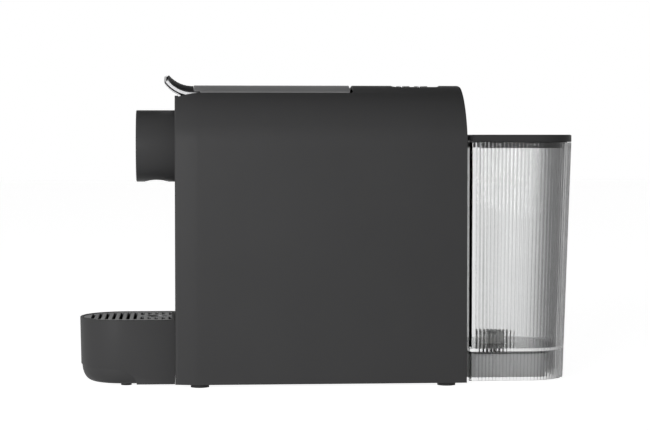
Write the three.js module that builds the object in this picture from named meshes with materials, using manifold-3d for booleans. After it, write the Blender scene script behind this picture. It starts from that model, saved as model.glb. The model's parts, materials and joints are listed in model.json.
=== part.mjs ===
// A pod coffee machine: a narrow upright body with a lift-up lever, a round spout over a drip tray,
// and a clear water tank at the back. Millimetres. +X is the rear, the viewer's side is -Y, +Z is up.
import * as THREE from "three";
import { mergeVertices } from "three/addons/utils/BufferGeometryUtils.js";
import Module from "manifold-3d";

const wasm = await Module();
wasm.setup();

// ---- Driving dimensions ------------------------------------------------------------------------

// Clearances.
const SEAT_GAP = 0.3; // between two pieces that rest on each other
const FIT_GAP = 0.5; // between a panel and the opening it sits in
const RUN_GAP = 0.15; // between a pin and the hole it turns in
const PRESS_GAP = 0.1; // round a pin that its holder grips

// Body casing.
const BODY_FRONT = -101.8;
const BODY_REAR = 88.1;
const BODY_HALF_WIDTH = 47;
const BODY_BOTTOM = 2.6;
const RIDGE = 197.3; // height of the top
const WALL = 2.2;
const ARCH_MARGIN = 3; // how much larger the arch's radius is than half the width
const ARCH_HALF_ANGLE = THREE.MathUtils.degToRad(62);
const FRONT_TAPER_LENGTH = 12.5;
const FRONT_TAPER_DEPTH = 3;
const REAR_ROUND_X = 1.6;
const REAR_ROUND_Z = 2.2;
const PANEL_THICKNESS = 2.4;
const BASE_THICKNESS = 2.5;
const FOOT_RADIUS = 6;
const FOOT_INSET = 12;

// Cord gland, on the far side.
const GLAND_X = 76;
const GLAND_Z = 16;
const GLAND_RADIUS = 5.5;
const GLAND_BORE = 3.2;
const GLAND_LENGTH = 6; // how far it reaches inside the wall

// Inner chassis: a divider, and a shelf on two legs.
const CHASSIS_MARGIN = 2.8; // between it and the casing's wall
const DIVIDER_THICKNESS = 3;
const DIVIDER_MARGIN = 5.6; // between it and the used-capsule container
const SHELF_Z = 58;
const SHELF_REAR = 80;
const LEG_Y = 35;
const LEG_WIDTH = 5;

// Lever on the ridge.
const LEVER_HALF_WIDTH = 21.5;
const LEVER_REAR = 13.9;
const LEVER_REAR_GAP = 1.7;
const LEVER_SIDE_GAP = 0.7;
const LEVER_CURL_SETBACK = 11.8; // from the body's front to where the lever starts to curl up
const LEVER_CURL_RADIUS = 20;
const LEVER_TIP_REACH = 15.9; // how far the tip reaches forward of the start of its curl
const LEVER_PLATE_THICKNESS = 1.5;
const LEVER_ARM_THICKNESS = 1.6;
const BAND = 1.4; // width of the bright edge that the arm leaves visible round the plate
const BAND_OVERLAP = 4; // how far that edge runs back beside the plate
const GRIP_DEPTH = 0.4; // how far the grip lies under the plate's top
const PIVOT_X = 8.5;
const PIVOT_DEPTH = 5.8; // how far the lever's axle lies under the ridge
const KNUCKLE_RADIUS = 2.6;
const KNUCKLE_WIDTH = 3.4;
const KNUCKLE_Y = 7.4;
const AXLE_RADIUS = 1.3;
const AXLE_HALF_LENGTH = 11.3;
const LEVER_OPEN_ANGLE = THREE.MathUtils.degToRad(85);

// Gear train from the lever to the capsule carriage.
const MODULE = 1;
const SECTOR_TEETH = 36; // of the full circle that the sector is cut from
const SECTOR_FIRST = -1; // first and last of its teeth, counted from straight down
const SECTOR_LAST = 9;
const IDLER_TEETH = 16;
const PRESSURE_ANGLE = THREE.MathUtils.degToRad(20);
const BACKLASH = 0.3;
const GEAR_HALF_WIDTH = 3;
const TONGUE_LENGTH = 19;
const TONGUE_THICKNESS = 3;
const EAR_INNER = 3.9;
const EAR_THICKNESS = 2.4;

// Brewing chamber.
const BREW_AXIS_DEPTH = 40.3; // under the ridge
const OUTLET_PLATE_SETBACK = 23.8; // from the body's front
const OUTLET_PLATE_RADIUS = 17;
const OUTLET_PLATE_THICKNESS = 2;
const CARRIAGE_SETBACK = 4; // from the front of the outlet plate to the closed carriage
const CARRIAGE_LENGTH = 34;
const CARRIAGE_RADIUS = 17;
const ROD_HEIGHT = 7;
const CAPSULE_RADIUS = 14.5;
const CAPSULE_DEPTH = 24;
const FRAME_INNER = 20.6;
const FRAME_THICKNESS = 2.8;
const FRAME_BELOW_AXIS = 24;
const FRAME_TOP_DEPTH = 13.3; // under the ridge
const WEB_X = 18;
const WEB_THICKNESS = 4;
const RAIL_WIDTH = 2.2;
const LUG_DEPTH = 5; // the carriage's lugs lie this far under the axis
const LUG_THICKNESS = 4;
const TUBE_RADIUS = 2.5;
const TUBE_BORE = 1.2;
const SLEEVE_Y = 13;
const SLEEVE_RADIUS = 4.5;
const SLEEVE_FRONT = -6;
const SLEEVE_REAR = 34;
const CHUTE_DEPTH = 9.2; // under the ridge
const CHUTE_THICKNESS = 2;
const CHUTE_WALL = 1.6;
const CHUTE_HALF_WIDTH = 24;
const CAPSULE_SLOT_LENGTH = 27;
const CAPSULE_SLOT_HALF_WIDTH = 18;

// Spout.
const SPOUT_RADIUS = 23.8;
const SPOUT_LENGTH = 25.5;
const SPOUT_OUTLET_REACH = 12.2; // from the body's front to the middle of the outlet
const NOZZLE_RADIUS = 5.5;
const NOZZLE_BORE = 2.5;
const OUTLET_BORE = 3.4;

// Drip tray and used-capsule container.
const TRAY_FRONT = -165;
const TRAY_GAP = 1; // to the body's front
const TRAY_HALF_WIDTH = 34;
const TRAY_NOSE = 30; // depth of its rounded front end
const TRAY_RIM = 43.8;
const TRAY_BOTTOM = 1.6;
const TRAY_WALL = 2;
const LEDGE = 2; // width of the ledge that carries the grid
const UNDERCUT_HEIGHT = 11;
const UNDERCUT_DEPTH = 8;
const UNDERCUT_LENGTH = 38;
const UNDERCUT_CURVE = 22; // length of the curve at its rear end
const HOOK_Y = 20;
const HOOK_HALF_WIDTH = 3;
const HOOK_BOTTOM = 34;
const HOOK_TOP = 38;
const GRID_THICKNESS = 2.3;
const GRID_HOLE_RADIUS = 6.5;
const GRID_RING_RADIUS = 11;
const SLOT_COUNT = 12;
const SLOT_PITCH = 4.66;
const SLOT_WIDTH = 2.2;
const SLOT_MARGIN = 2.2; // from the tray's rear to the first slot
const CONTAINER_REAR = -40;
const CONTAINER_HALF_WIDTH = 33;
const CONTAINER_TOP = 92;
const CONTAINER_WALL = 1.8;
const BAY_MARGIN = 1.5; // of the front panel's bay round the container
const BAY_HEADROOM = 4;

// Water tank.
const TANK_GAP = 2.4; // to the body's rear
const TANK_REAR = 162.6;
const TANK_HALF_WIDTH = 42;
const TANK_CORNER = 29;
const TANK_FRONT_CORNER = 2;
const TANK_BOTTOM = 3;
const TANK_TOP = 159.4;
const TANK_DRAFT = 0.072; // how much smaller its section is at the bottom than at the top
const TANK_WALL = 2;
const TANK_FLOOR = 22;
const RAIL_Y = 14;
const REST_Y = 24;
const LID_HEIGHT = 5.1;
const LID_RIM_DEPTH = 4;
const LID_RIM_THICKNESS = 1.4;
const LID_RIM_GAP = 0.8;
const LID_BARREL = 2.4;
const LID_PIN_RADIUS = 1.1;
const HINGE_EAR_Y = 33;
const HINGE_EAR_THICKNESS = 2.4;
const HINGE_EAR_GAP = 0.4;

// Tank valve, strainer, dock and coupling.
const VALVE_X = 112.5;
const VALVE_RADIUS = 6;
const VALVE_BORE = 4.2;
const VALVE_THROAT = 2.2;
const VALVE_STEM_RADIUS = 1.3;
const HOUSING_BOTTOM = 12;
const SEAT_THICKNESS = 1.5;
const SPRING_RADIUS = 2.9;
const SPRING_WIRE = 0.25;
const SPRING_TURNS = 3;
const STRAINER_RADIUS = 11;
const STRAINER_HEIGHT = 8;
const STRAINER_WALL = 1;
const DOCK_HALF_WIDTH = 30;
const DOCK_REAR = 146;
const DOCK_DEPTH = 2.5; // its top lies this far under the tank's floor
const DOCK_BOTTOM = 4;
const DOCK_WELL_BOTTOM = 10;
const COUPLING_RADIUS = 3.2;
const INLET_HOSE_Z = 8.5;
const HOSE_RADIUS = 3;

// Pump, heater and flow meter.
const PUMP_Z = 30;
const PUMP_RADIUS = 14;
const PUMP_FRONT = -16;
const PUMP_REAR = 58;
const PUMP_PORT = 6;
const COIL_LENGTH = 34;
const COIL_HALF_WIDTH = 20;
const MOUNT_X = [-10, 46];
const MOUNT_HALF_WIDTH = 18;
const MOUNT_HALF_LENGTH = 4;
const HEATER = { front: -20, rear: 60, half: 24, bottom: 66, top: 108 };
const METER = { x: 65, y: 24, radius: 9, top: 26, port: 5 };
const METER_PORT_Z = 12.5;
const PRESSURE_HOSE_Y = 30;
const PRESSURE_HOSE_X = 60; // where that hose passes up through the shelf
const THIN_HOSE_RADIUS = 2;
const WATER_HOSE_RADIUS = 2.6;

// Buttons behind the lever.
const BUTTON_X = [51, 63];
const BUTTON_RADIUS = 4.5;
const BUTTON_DROP = 0.3; // how far the caps lie under the ridge
const BUTTON_TRAVEL = 1.2;
const BEZEL_FRONT = 43;
const BEZEL_REAR = 75;
const BEZEL_HALF_WIDTH = 9.5;
const BEZEL_DROP = 1.1; // how far the dish lies under the ridge
const BEZEL_FLANGE = 2; // how far its flange reaches under the casing
const FLANGE_THICKNESS = 2;
const BOARD_DEPTH = 13.7; // under the ridge
const BOARD_HALF_WIDTH = 14;
const BOARD_THICKNESS = 1.6;
const SWITCH_HEIGHT = 4;
const STEM_RADIUS = 1.5;

// ---- Places that follow from them --------------------------------------------------------------

const ARCH_RADIUS = BODY_HALF_WIDTH + ARCH_MARGIN;
const ARCH_CENTRE_Z = RIDGE - ARCH_RADIUS;
const BASE_TOP = BODY_BOTTOM + BASE_THICKNESS;
const CHASSIS_HALF_WIDTH = BODY_HALF_WIDTH - WALL - CHASSIS_MARGIN;
const LEVER_SLOT_REAR = LEVER_REAR + LEVER_REAR_GAP;
const LEVER_CURL_START = BODY_FRONT + LEVER_CURL_SETBACK;
const GRIP_REAR = LEVER_CURL_START + 1;
const PIVOT_Z = RIDGE - PIVOT_DEPTH;
const BREW_AXIS_Z = RIDGE - BREW_AXIS_DEPTH;
const OUTLET_PLATE_X = BODY_FRONT + OUTLET_PLATE_SETBACK;
const CARRIAGE_FRONT = OUTLET_PLATE_X + CARRIAGE_SETBACK;
const FRAME_BOTTOM = BREW_AXIS_Z - FRAME_BELOW_AXIS;
const FRAME_TOP = RIDGE - FRAME_TOP_DEPTH;
const CHUTE_TOP = RIDGE - CHUTE_DEPTH;
const SPOUT_FRONT = BODY_FRONT - SPOUT_LENGTH;
const SPOUT_OUTLET_X = BODY_FRONT - SPOUT_OUTLET_REACH;
const TRAY_REAR = BODY_FRONT - TRAY_GAP;
const UNDERCUT_REAR = TRAY_FRONT + UNDERCUT_LENGTH;
const GRID_HOLE_X = SPOUT_OUTLET_X + 0.4;
const SLOT_FIRST_X = TRAY_REAR - SLOT_MARGIN;
const BAY_HALF_WIDTH = CONTAINER_HALF_WIDTH + BAY_MARGIN;
const BAY_TOP = CONTAINER_TOP + BAY_HEADROOM;
const TANK_FRONT = BODY_REAR + TANK_GAP;
const LID_TOP = TANK_TOP + LID_HEIGHT;
const DOCK_TOP = TANK_FLOOR - DOCK_DEPTH;
const BOARD_TOP = RIDGE - BOARD_DEPTH;

// ---- Solids --------------------------------------------------------------------------------------

function toSolid(geometry) {
  const bare = new THREE.BufferGeometry();
  const source = geometry.index ? geometry.toNonIndexed() : geometry;
  bare.setAttribute("position", source.getAttribute("position"));
  const merged = mergeVertices(bare, 1e-4);
  return new wasm.Manifold(new wasm.Mesh({
    numProp: 3,
    vertProperties: merged.attributes.position.array,
    triVerts: new Uint32Array(merged.index.array),
  }));
}

function toGeometry(solid) {
  const mesh = solid.getMesh();
  const geometry = new THREE.BufferGeometry();
  geometry.setAttribute("position", new THREE.BufferAttribute(mesh.vertProperties, mesh.numProp));
  geometry.setIndex(new THREE.BufferAttribute(mesh.triVerts, 1));
  const flat = geometry.toNonIndexed();
  flat.computeVertexNormals();
  return flat;
}

function join(first, ...others) {
  return others.reduce((sum, solid) => sum.add(solid), first);
}

function cut(first, ...others) {
  return others.reduce((rest, solid) => rest.subtract(solid), first);
}

// A closed outline pushed along Z, from z0 to z1.
function prismZ(shape, z0, z1, curveSegments = 12) {
  const geometry = new THREE.ExtrudeGeometry(shape, { depth: z1 - z0, bevelEnabled: false, curveSegments });
  return toSolid(geometry.translate(0, 0, z0));
}

// An outline in Y and Z, pushed along X.
const FACING_X = new THREE.Matrix4().makeBasis(
  new THREE.Vector3(0, 1, 0), new THREE.Vector3(0, 0, 1), new THREE.Vector3(1, 0, 0));
function prismX(shape, x0, x1, curveSegments = 12) {
  const geometry = new THREE.ExtrudeGeometry(shape, { depth: x1 - x0, bevelEnabled: false, curveSegments });
  return toSolid(geometry.applyMatrix4(FACING_X).translate(x0, 0, 0));
}

// An outline in X and Z, pushed along Y.
const FACING_Y = new THREE.Matrix4().makeBasis(
  new THREE.Vector3(1, 0, 0), new THREE.Vector3(0, 0, 1), new THREE.Vector3(0, -1, 0));
function plainPrismY(shape, y0, y1, options = {}) {
  const geometry = new THREE.ExtrudeGeometry(shape, { depth: y1 - y0, bevelEnabled: false, ...options });
  return geometry.applyMatrix4(FACING_Y).translate(0, y1, 0);
}
function prismY(shape, y0, y1, curveSegments = 12) {
  return toSolid(plainPrismY(shape, y0, y1, { curveSegments }));
}

function box(x0, x1, y0, y1, z0, z1) {
  const geometry = new THREE.BoxGeometry(x1 - x0, y1 - y0, z1 - z0);
  return toSolid(geometry.translate((x0 + x1) / 2, (y0 + y1) / 2, (z0 + z1) / 2));
}

function cylinderZ(radius, x, y, z0, z1, sides = 16) {
  const geometry = new THREE.CylinderGeometry(radius, radius, z1 - z0, sides);
  return toSolid(geometry.rotateX(Math.PI / 2).translate(x, y, (z0 + z1) / 2));
}

function cylinderX(radius, y, z, x0, x1, sides = 16) {
  const geometry = new THREE.CylinderGeometry(radius, radius, x1 - x0, sides);
  return toSolid(geometry.rotateZ(Math.PI / 2).translate((x0 + x1) / 2, y, z));
}

function cylinderY(radius, x, z, y0, y1, sides = 16) {
  const geometry = new THREE.CylinderGeometry(radius, radius, y1 - y0, sides);
  return toSolid(geometry.translate(x, (y0 + y1) / 2, z));
}

function polygon(points) {
  return new THREE.Shape(points.map(([u, v]) => new THREE.Vector2(u, v)));
}

function roundedRectangle(u0, u1, v0, v1, radius) {
  const shape = new THREE.Shape();
  shape.moveTo(u0 + radius, v0);
  shape.absarc(u1 - radius, v0 + radius, radius, -Math.PI / 2, 0);
  shape.absarc(u1 - radius, v1 - radius, radius, 0, Math.PI / 2);
  shape.absarc(u0 + radius, v1 - radius, radius, Math.PI / 2, Math.PI);
  shape.absarc(u0 + radius, v0 + radius, radius, Math.PI, Math.PI * 1.5);
  return shape;
}

// A hose of the given radius along a smooth curve through the points.
function hose(points, radius, steps = 18) {
  const path = new THREE.CatmullRomCurve3(points.map((p) => new THREE.Vector3(...p)), false, "centripetal");
  const section = new THREE.Shape().absarc(0, 0, radius, 0, Math.PI * 2);
  const geometry = new THREE.ExtrudeGeometry(section, { steps, extrudePath: path, curveSegments: 3 });
  return toSolid(geometry);
}

// ---- Materials and bodies ------------------------------------------------------------------------

function finish(color, roughness, metalness = 0) {
  return new THREE.MeshStandardMaterial({ color, roughness, metalness });
}
const MATTE_BLACK = finish(0x3c3c3c, 0.55);
const GLOSS_BLACK = finish(0x161616, 0.25);
const DOCK_GREY = finish(0x8f8f8f, 0.5);
const SATIN_GREY = finish(0x8a8a8a, 0.35, 0.6);
const CHROME = finish(0xd8d8d8, 0.12, 1);
const INNER_PLASTIC = finish(0x55585a, 0.6);
const WHITE_PLASTIC = finish(0xd9d7d0, 0.5);
const CLEAR_PLASTIC = finish(0xdfe3e4, 0.1);
const RUBBER = finish(0x222222, 0.9);
const SILICONE = finish(0xc9c4ba, 0.7);
const ALUMINIUM = finish(0xb4b6b8, 0.4, 1);
const STEEL = finish(0xa9abad, 0.3, 1);
const BRASS = finish(0xb08d4a, 0.35, 1);
const BOARD_GREEN = finish(0x1f5a3a, 0.6);

const group = new THREE.Group();
const bodies = {};
for (const name of ["chassis", "lever", "idler", "carriage", "tray", "grid", "tank", "tank_lid", "valve",
  "front_button", "rear_button"]) {
  bodies[name] = new THREE.Group();
  bodies[name].name = name;
  group.add(bodies[name]);
}

function piece(body, name, solid, material) {
  const mesh = new THREE.Mesh(toGeometry(solid), material);
  mesh.name = name;
  bodies[body].add(mesh);
}

// ---- Casing --------------------------------------------------------------------------------------

// The section of the body in Y and Z, drawn in by an inset: flat sides under an arched top.
const SHOULDER_RADIUS = (BODY_HALF_WIDTH - ARCH_RADIUS * Math.sin(ARCH_HALF_ANGLE))
  / (1 - Math.sin(ARCH_HALF_ANGLE));

function bodySection(inset, bottom) {
  const side = BODY_HALF_WIDTH - inset;
  const shoulderY = (ARCH_RADIUS - SHOULDER_RADIUS) * Math.sin(ARCH_HALF_ANGLE);
  const shoulderZ = ARCH_CENTRE_Z + (ARCH_RADIUS - SHOULDER_RADIUS) * Math.cos(ARCH_HALF_ANGLE);
  const upper = Math.PI / 2 - ARCH_HALF_ANGLE;
  const shape = new THREE.Shape();
  shape.moveTo(-side, bottom);
  shape.lineTo(side, bottom);
  shape.absarc(shoulderY, shoulderZ, SHOULDER_RADIUS - inset, 0, upper);
  shape.absarc(0, ARCH_CENTRE_Z, ARCH_RADIUS - inset, upper, Math.PI - upper);
  shape.absarc(-shoulderY, shoulderZ, SHOULDER_RADIUS - inset, Math.PI - upper, Math.PI);
  return shape;
}

// How far the arched top lies under the ridge at a distance from the middle.
function sag(y) {
  return ARCH_RADIUS - Math.sqrt(ARCH_RADIUS ** 2 - y ** 2);
}

// The body's section pushed along X, with its front end drawn in all round.
function taperedBody(inset, bottom, rear) {
  const geometry = new THREE.ExtrudeGeometry(bodySection(inset, bottom), {
    depth: rear - BODY_FRONT,
    bevelThickness: FRONT_TAPER_LENGTH,
    bevelSize: FRONT_TAPER_DEPTH,
    bevelOffset: -FRONT_TAPER_DEPTH,
    bevelSegments: 1,
    curveSegments: 6,
  });
  geometry.applyMatrix4(FACING_X).translate(BODY_FRONT + FRONT_TAPER_LENGTH, 0, 0);
  return toSolid(geometry);
}

const FAR = 200; // beyond every piece, for cutters

// The side view of the body: straight, with a rounded rear top edge.
function sideProfile() {
  const shape = new THREE.Shape();
  shape.moveTo(-FAR, BODY_BOTTOM);
  shape.lineTo(BODY_REAR, BODY_BOTTOM);
  shape.absellipse(BODY_REAR - REAR_ROUND_X, RIDGE - REAR_ROUND_Z, REAR_ROUND_X, REAR_ROUND_Z, 0, Math.PI / 2,
    false, 0);
  shape.lineTo(-FAR, RIDGE);
  return shape;
}

const SLOT_HALF_WIDTH = LEVER_HALF_WIDTH + LEVER_SIDE_GAP;
const PANEL_HALF_WIDTH = BODY_HALF_WIDTH - WALL - SEAT_GAP;

function buildCasing() {
  const outer = taperedBody(0, -FAR, FAR).intersect(prismY(sideProfile(), -FAR, FAR, 4));
  const hollow = taperedBody(WALL, -FAR, FAR);
  const mouth = prismX(bodySection(WALL + FRONT_TAPER_DEPTH, -FAR), -FAR, BODY_FRONT + 1, 6);
  const leverSlot = box(-FAR, LEVER_SLOT_REAR, -SLOT_HALF_WIDTH, SLOT_HALF_WIDTH, FRAME_TOP, FAR * 2);
  const bezelHole = prismZ(roundedRectangle(BEZEL_FRONT - SEAT_GAP, BEZEL_REAR + SEAT_GAP,
    -BEZEL_HALF_WIDTH - SEAT_GAP, BEZEL_HALF_WIDTH + SEAT_GAP, 4), RIDGE - 8, RIDGE + 8, 3);
  const cordHole = cylinderY(GLAND_RADIUS + SEAT_GAP, GLAND_X, GLAND_Z, 0, FAR, 16);
  return cut(outer, hollow, mouth, leverSlot, bezelHole, cordHole);
}

function buildFrontPanel() {
  const outline = bodySection(WALL + FRONT_TAPER_DEPTH + SEAT_GAP, BODY_BOTTOM + BASE_THICKNESS + SEAT_GAP);
  const panel = prismX(outline, BODY_FRONT, BODY_FRONT + PANEL_THICKNESS, 8);
  const leverClearance = box(-FAR, FAR, -SLOT_HALF_WIDTH, SLOT_HALF_WIDTH, RIDGE - 7, FAR * 2);
  const bay = box(-FAR, FAR, -BAY_HALF_WIDTH, BAY_HALF_WIDTH, 0, BAY_TOP);
  const nozzleHole = cylinderX(NOZZLE_RADIUS + SEAT_GAP, 0, BREW_AXIS_Z, -FAR, FAR, 20);
  return cut(panel, leverClearance, bay, nozzleHole);
}

function buildRearPanel() {
  const outline = bodySection(WALL + SEAT_GAP, BASE_TOP + SEAT_GAP);
  const panel = prismX(outline, BODY_REAR - PANEL_THICKNESS, BODY_REAR, 8);
  const hoseHole = cylinderX(HOSE_RADIUS + SEAT_GAP, 0, INLET_HOSE_Z, 0, FAR, 16);
  return cut(panel, hoseHole);
}

function buildBasePlate() {
  const shape = roundedRectangle(BODY_FRONT + 1, BODY_REAR, -PANEL_HALF_WIDTH, PANEL_HALF_WIDTH, 2);
  const plate = prismZ(shape, BODY_BOTTOM, BODY_BOTTOM + BASE_THICKNESS, 2);
  return plate.intersect(taperedBody(WALL + SEAT_GAP, -FAR, FAR));
}

piece("chassis", "casing", buildCasing(), MATTE_BLACK);
piece("chassis", "front_panel", buildFrontPanel(), MATTE_BLACK);
piece("chassis", "rear_panel", buildRearPanel(), MATTE_BLACK);
piece("chassis", "base_plate", buildBasePlate(), MATTE_BLACK);

// ---- Feet, gland and inner chassis ---------------------------------------------------------------

for (const [end, x] of [["front", BODY_FRONT + FOOT_INSET + 4], ["rear", BODY_REAR - FOOT_INSET]]) {
  for (const [side, sign] of [["left", -1], ["right", 1]]) {
    const y = sign * (BODY_HALF_WIDTH - FOOT_INSET);
    const foot = cylinderZ(FOOT_RADIUS, x, y, 0, BODY_BOTTOM - SEAT_GAP, 16);
    piece("chassis", `foot_${end}_${side}`, foot, RUBBER);
  }
}

// The gland passes through the far side of the casing: a flange outside and a sleeve within.
function buildCordGland() {
  const inside = BODY_HALF_WIDTH - WALL - GLAND_LENGTH;
  const sleeve = cylinderY(GLAND_RADIUS, GLAND_X, GLAND_Z, inside, BODY_HALF_WIDTH - SEAT_GAP / 2, 16);
  const collar = cylinderY(GLAND_RADIUS + 1.5, GLAND_X, GLAND_Z, inside - 1, inside + 4, 16);
  return cut(join(sleeve, collar), cylinderY(GLAND_BORE, GLAND_X, GLAND_Z, 0, FAR, 12));
}
piece("chassis", "cord_gland", buildCordGland(), RUBBER);

const DIVIDER_X = CONTAINER_REAR + DIVIDER_MARGIN;

// A divider behind the used-capsule container, and a shelf over the pump with two rear legs.
function buildInnerChassis() {
  const divider = box(DIVIDER_X, DIVIDER_X + DIVIDER_THICKNESS, -CHASSIS_HALF_WIDTH, CHASSIS_HALF_WIDTH,
    BASE_TOP + SEAT_GAP, FRAME_BOTTOM - SEAT_GAP);
  const shelf = box(DIVIDER_X, SHELF_REAR, -CHASSIS_HALF_WIDTH, CHASSIS_HALF_WIDTH, SHELF_Z,
    SHELF_Z + DIVIDER_THICKNESS);
  const leg = (y) => box(SHELF_REAR - LEG_WIDTH, SHELF_REAR, y - DIVIDER_THICKNESS, y, BASE_TOP + SEAT_GAP,
    SHELF_Z + 1);
  const hosePass = cylinderZ(HOSE_RADIUS + 2, PRESSURE_HOSE_X, PRESSURE_HOSE_Y, SHELF_Z - 5,
    SHELF_Z + 10, 12);
  const legs = join(leg(LEG_Y), leg(-LEG_Y + DIVIDER_THICKNESS));
  return cut(join(divider, shelf, legs), hosePass);
}
piece("chassis", "inner_chassis", buildInnerChassis(), INNER_PLASTIC);

// ---- Brewing group -------------------------------------------------------------------------------

const FRAME_OUTER = FRAME_INNER + FRAME_THICKNESS;
const FRAME_FRONT = BODY_FRONT + PANEL_THICKNESS + SEAT_GAP;
const SECTOR_RADIUS = MODULE * SECTOR_TEETH / 2;
const IDLER_RADIUS = MODULE * IDLER_TEETH / 2;
const IDLER_Z = PIVOT_Z - SECTOR_RADIUS - IDLER_RADIUS;
const RACK_Z = IDLER_Z - IDLER_RADIUS;
const ROD_TOP = RACK_Z - 1.25 * MODULE;
const ROD_BOTTOM = ROD_TOP - ROD_HEIGHT;
const LUG_Z = BREW_AXIS_Z - LUG_DEPTH;

// Two side plates, a front wall with the coffee outlet, and a rear web with the ears of the lever.
function buildBrewFrame() {
  const webRear = WEB_X + WEB_THICKNESS;
  const side = (y) => box(FRAME_FRONT, webRear, y, y + FRAME_THICKNESS, FRAME_BOTTOM, FRAME_TOP);
  const rail = (y) => box(CARRIAGE_FRONT - 1, WEB_X + 1, y, y + RAIL_WIDTH, LUG_Z - 4, LUG_Z - SEAT_GAP);
  const frontWall = box(OUTLET_PLATE_X - 6, OUTLET_PLATE_X - SEAT_GAP, -FRAME_INNER - 1, FRAME_INNER + 1,
    FRAME_BOTTOM + 4, FRAME_TOP - 9);
  const web = box(WEB_X, webRear, -FRAME_INNER - 1, FRAME_INNER + 1, FRAME_BOTTOM, FRAME_TOP - 9);
  const slit = box(WEB_X - 1, webRear + 1, -EAR_INNER, EAR_INNER, ROD_BOTTOM - SEAT_GAP, FAR * 2);
  const outlet = cylinderX(NOZZLE_RADIUS + SEAT_GAP, 0, BREW_AXIS_Z, -FAR, 0, 20);
  const sleeveHole = cylinderX(SLEEVE_RADIUS + SEAT_GAP, SLEEVE_Y, BREW_AXIS_Z, 0, FAR, 16);
  const ear = (y) => {
    const neck = prismY(polygon([
      [WEB_X + 1, FRAME_BOTTOM + 6], [WEB_X + 1, FRAME_TOP - 12], [PIVOT_X + KNUCKLE_RADIUS, FRAME_TOP - 6],
      [PIVOT_X + KNUCKLE_RADIUS, PIVOT_Z], [PIVOT_X - KNUCKLE_RADIUS, PIVOT_Z],
      [PIVOT_X - KNUCKLE_RADIUS, IDLER_Z - 6], [PIVOT_X + 4, FRAME_BOTTOM + 6]]), y, y + EAR_THICKNESS);
    return join(neck, cylinderY(KNUCKLE_RADIUS, PIVOT_X, PIVOT_Z, y, y + EAR_THICKNESS, 16));
  };
  const pinHole = (z) => cylinderY(AXLE_RADIUS + PRESS_GAP, PIVOT_X, z, -FAR, FAR, 16);
  const pinHoles = [pinHole(PIVOT_Z), pinHole(IDLER_Z)];
  const ends = [FRAME_INNER, -FRAME_OUTER];
  const railIn = FRAME_INNER - RAIL_WIDTH + 0.2;
  const rails = [rail(railIn), rail(-railIn - RAIL_WIDTH)];
  const ears = [ear(EAR_INNER), ear(-EAR_INNER - EAR_THICKNESS)];
  const whole = join(side(ends[0]), side(ends[1]), ...rails, frontWall, cut(web, slit), ...ears);
  return cut(whole, outlet, sleeveHole, ...pinHoles);
}
piece("chassis", "brew_frame", buildBrewFrame(), INNER_PLASTIC);

function buildOutletPlate() {
  const back = OUTLET_PLATE_X + OUTLET_PLATE_THICKNESS;
  const plate = cylinderX(OUTLET_PLATE_RADIUS, 0, BREW_AXIS_Z, OUTLET_PLATE_X, back, 24);
  const holes = [];
  for (let i = 0; i < 6; i += 1) {
    const angle = i * Math.PI / 3;
    holes.push(cylinderX(1, 6 * Math.cos(angle), BREW_AXIS_Z + 6 * Math.sin(angle), -FAR, 0, 6));
  }
  return cut(plate, ...holes);
}
piece("chassis", "outlet_plate", buildOutletPlate(), STEEL);

const CHUTE_REAR = PIVOT_X - SECTOR_RADIUS - 2.5;
const SLOT_REAR = CARRIAGE_FRONT + CAPSULE_SLOT_LENGTH;

// The floor under the lever, with the throat that a capsule drops through.
function buildChuteCover() {
  const floor = box(FRAME_FRONT, CHUTE_REAR, -CHUTE_HALF_WIDTH, CHUTE_HALF_WIDTH, CHUTE_TOP - CHUTE_THICKNESS,
    CHUTE_TOP);
  const well = (grow, bottom, top) => box(CARRIAGE_FRONT - grow, SLOT_REAR + grow,
    -CAPSULE_SLOT_HALF_WIDTH - grow, CAPSULE_SLOT_HALF_WIDTH + grow, bottom, top);
  const throat = well(CHUTE_WALL, CHUTE_TOP - 9, CHUTE_TOP);
  const whole = cut(join(floor, throat), well(0, 0, FAR * 2));
  return whole.intersect(taperedBody(WALL + SEAT_GAP, -FAR, FAR));
}
piece("chassis", "chute_cover", buildChuteCover(), MATTE_BLACK);

// ---- Spout ---------------------------------------------------------------------------------------

function buildSpoutHousing() {
  const profile = [[0, 0], [SPOUT_RADIUS - 1, 0], [SPOUT_RADIUS - 0.3, 0.3], [SPOUT_RADIUS, 1]];
  const length = BODY_FRONT - SEAT_GAP - SPOUT_FRONT;
  profile.push([SPOUT_RADIUS, length], [SPOUT_RADIUS - WALL, length], [SPOUT_RADIUS - WALL, WALL], [0, WALL]);
  const points = profile.map(([r, z]) => new THREE.Vector2(r, z));
  const shell = toSolid(new THREE.LatheGeometry(points, 32).rotateZ(-Math.PI / 2)
    .translate(SPOUT_FRONT, 0, BREW_AXIS_Z));
  return cut(shell, cylinderZ(NOZZLE_RADIUS + 2.5, SPOUT_OUTLET_X, 0, 0, BREW_AXIS_Z, 20));
}
piece("chassis", "spout_housing", buildSpoutHousing(), GLOSS_BLACK);

// The coffee runs forward through a level pipe, then down through the outlet.
function buildSpoutNozzle() {
  const end = BREW_AXIS_Z - SPOUT_RADIUS + 2.5;
  const pipe = cylinderX(NOZZLE_RADIUS, 0, BREW_AXIS_Z, SPOUT_OUTLET_X - 6, OUTLET_PLATE_X - SEAT_GAP, 20);
  const outlet = cylinderZ(NOZZLE_RADIUS + 0.6, SPOUT_OUTLET_X, 0, end, BREW_AXIS_Z + 3, 20);
  const levelBore = cylinderX(NOZZLE_BORE, 0, BREW_AXIS_Z, SPOUT_OUTLET_X, FAR, 12);
  return cut(join(pipe, outlet), levelBore, cylinderZ(OUTLET_BORE, SPOUT_OUTLET_X, 0, 0, BREW_AXIS_Z, 16));
}
piece("chassis", "spout_nozzle", buildSpoutNozzle(), GLOSS_BLACK);

// ---- Gears ---------------------------------------------------------------------------------------

function involute(angle) {
  return Math.tan(angle) - angle;
}

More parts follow.
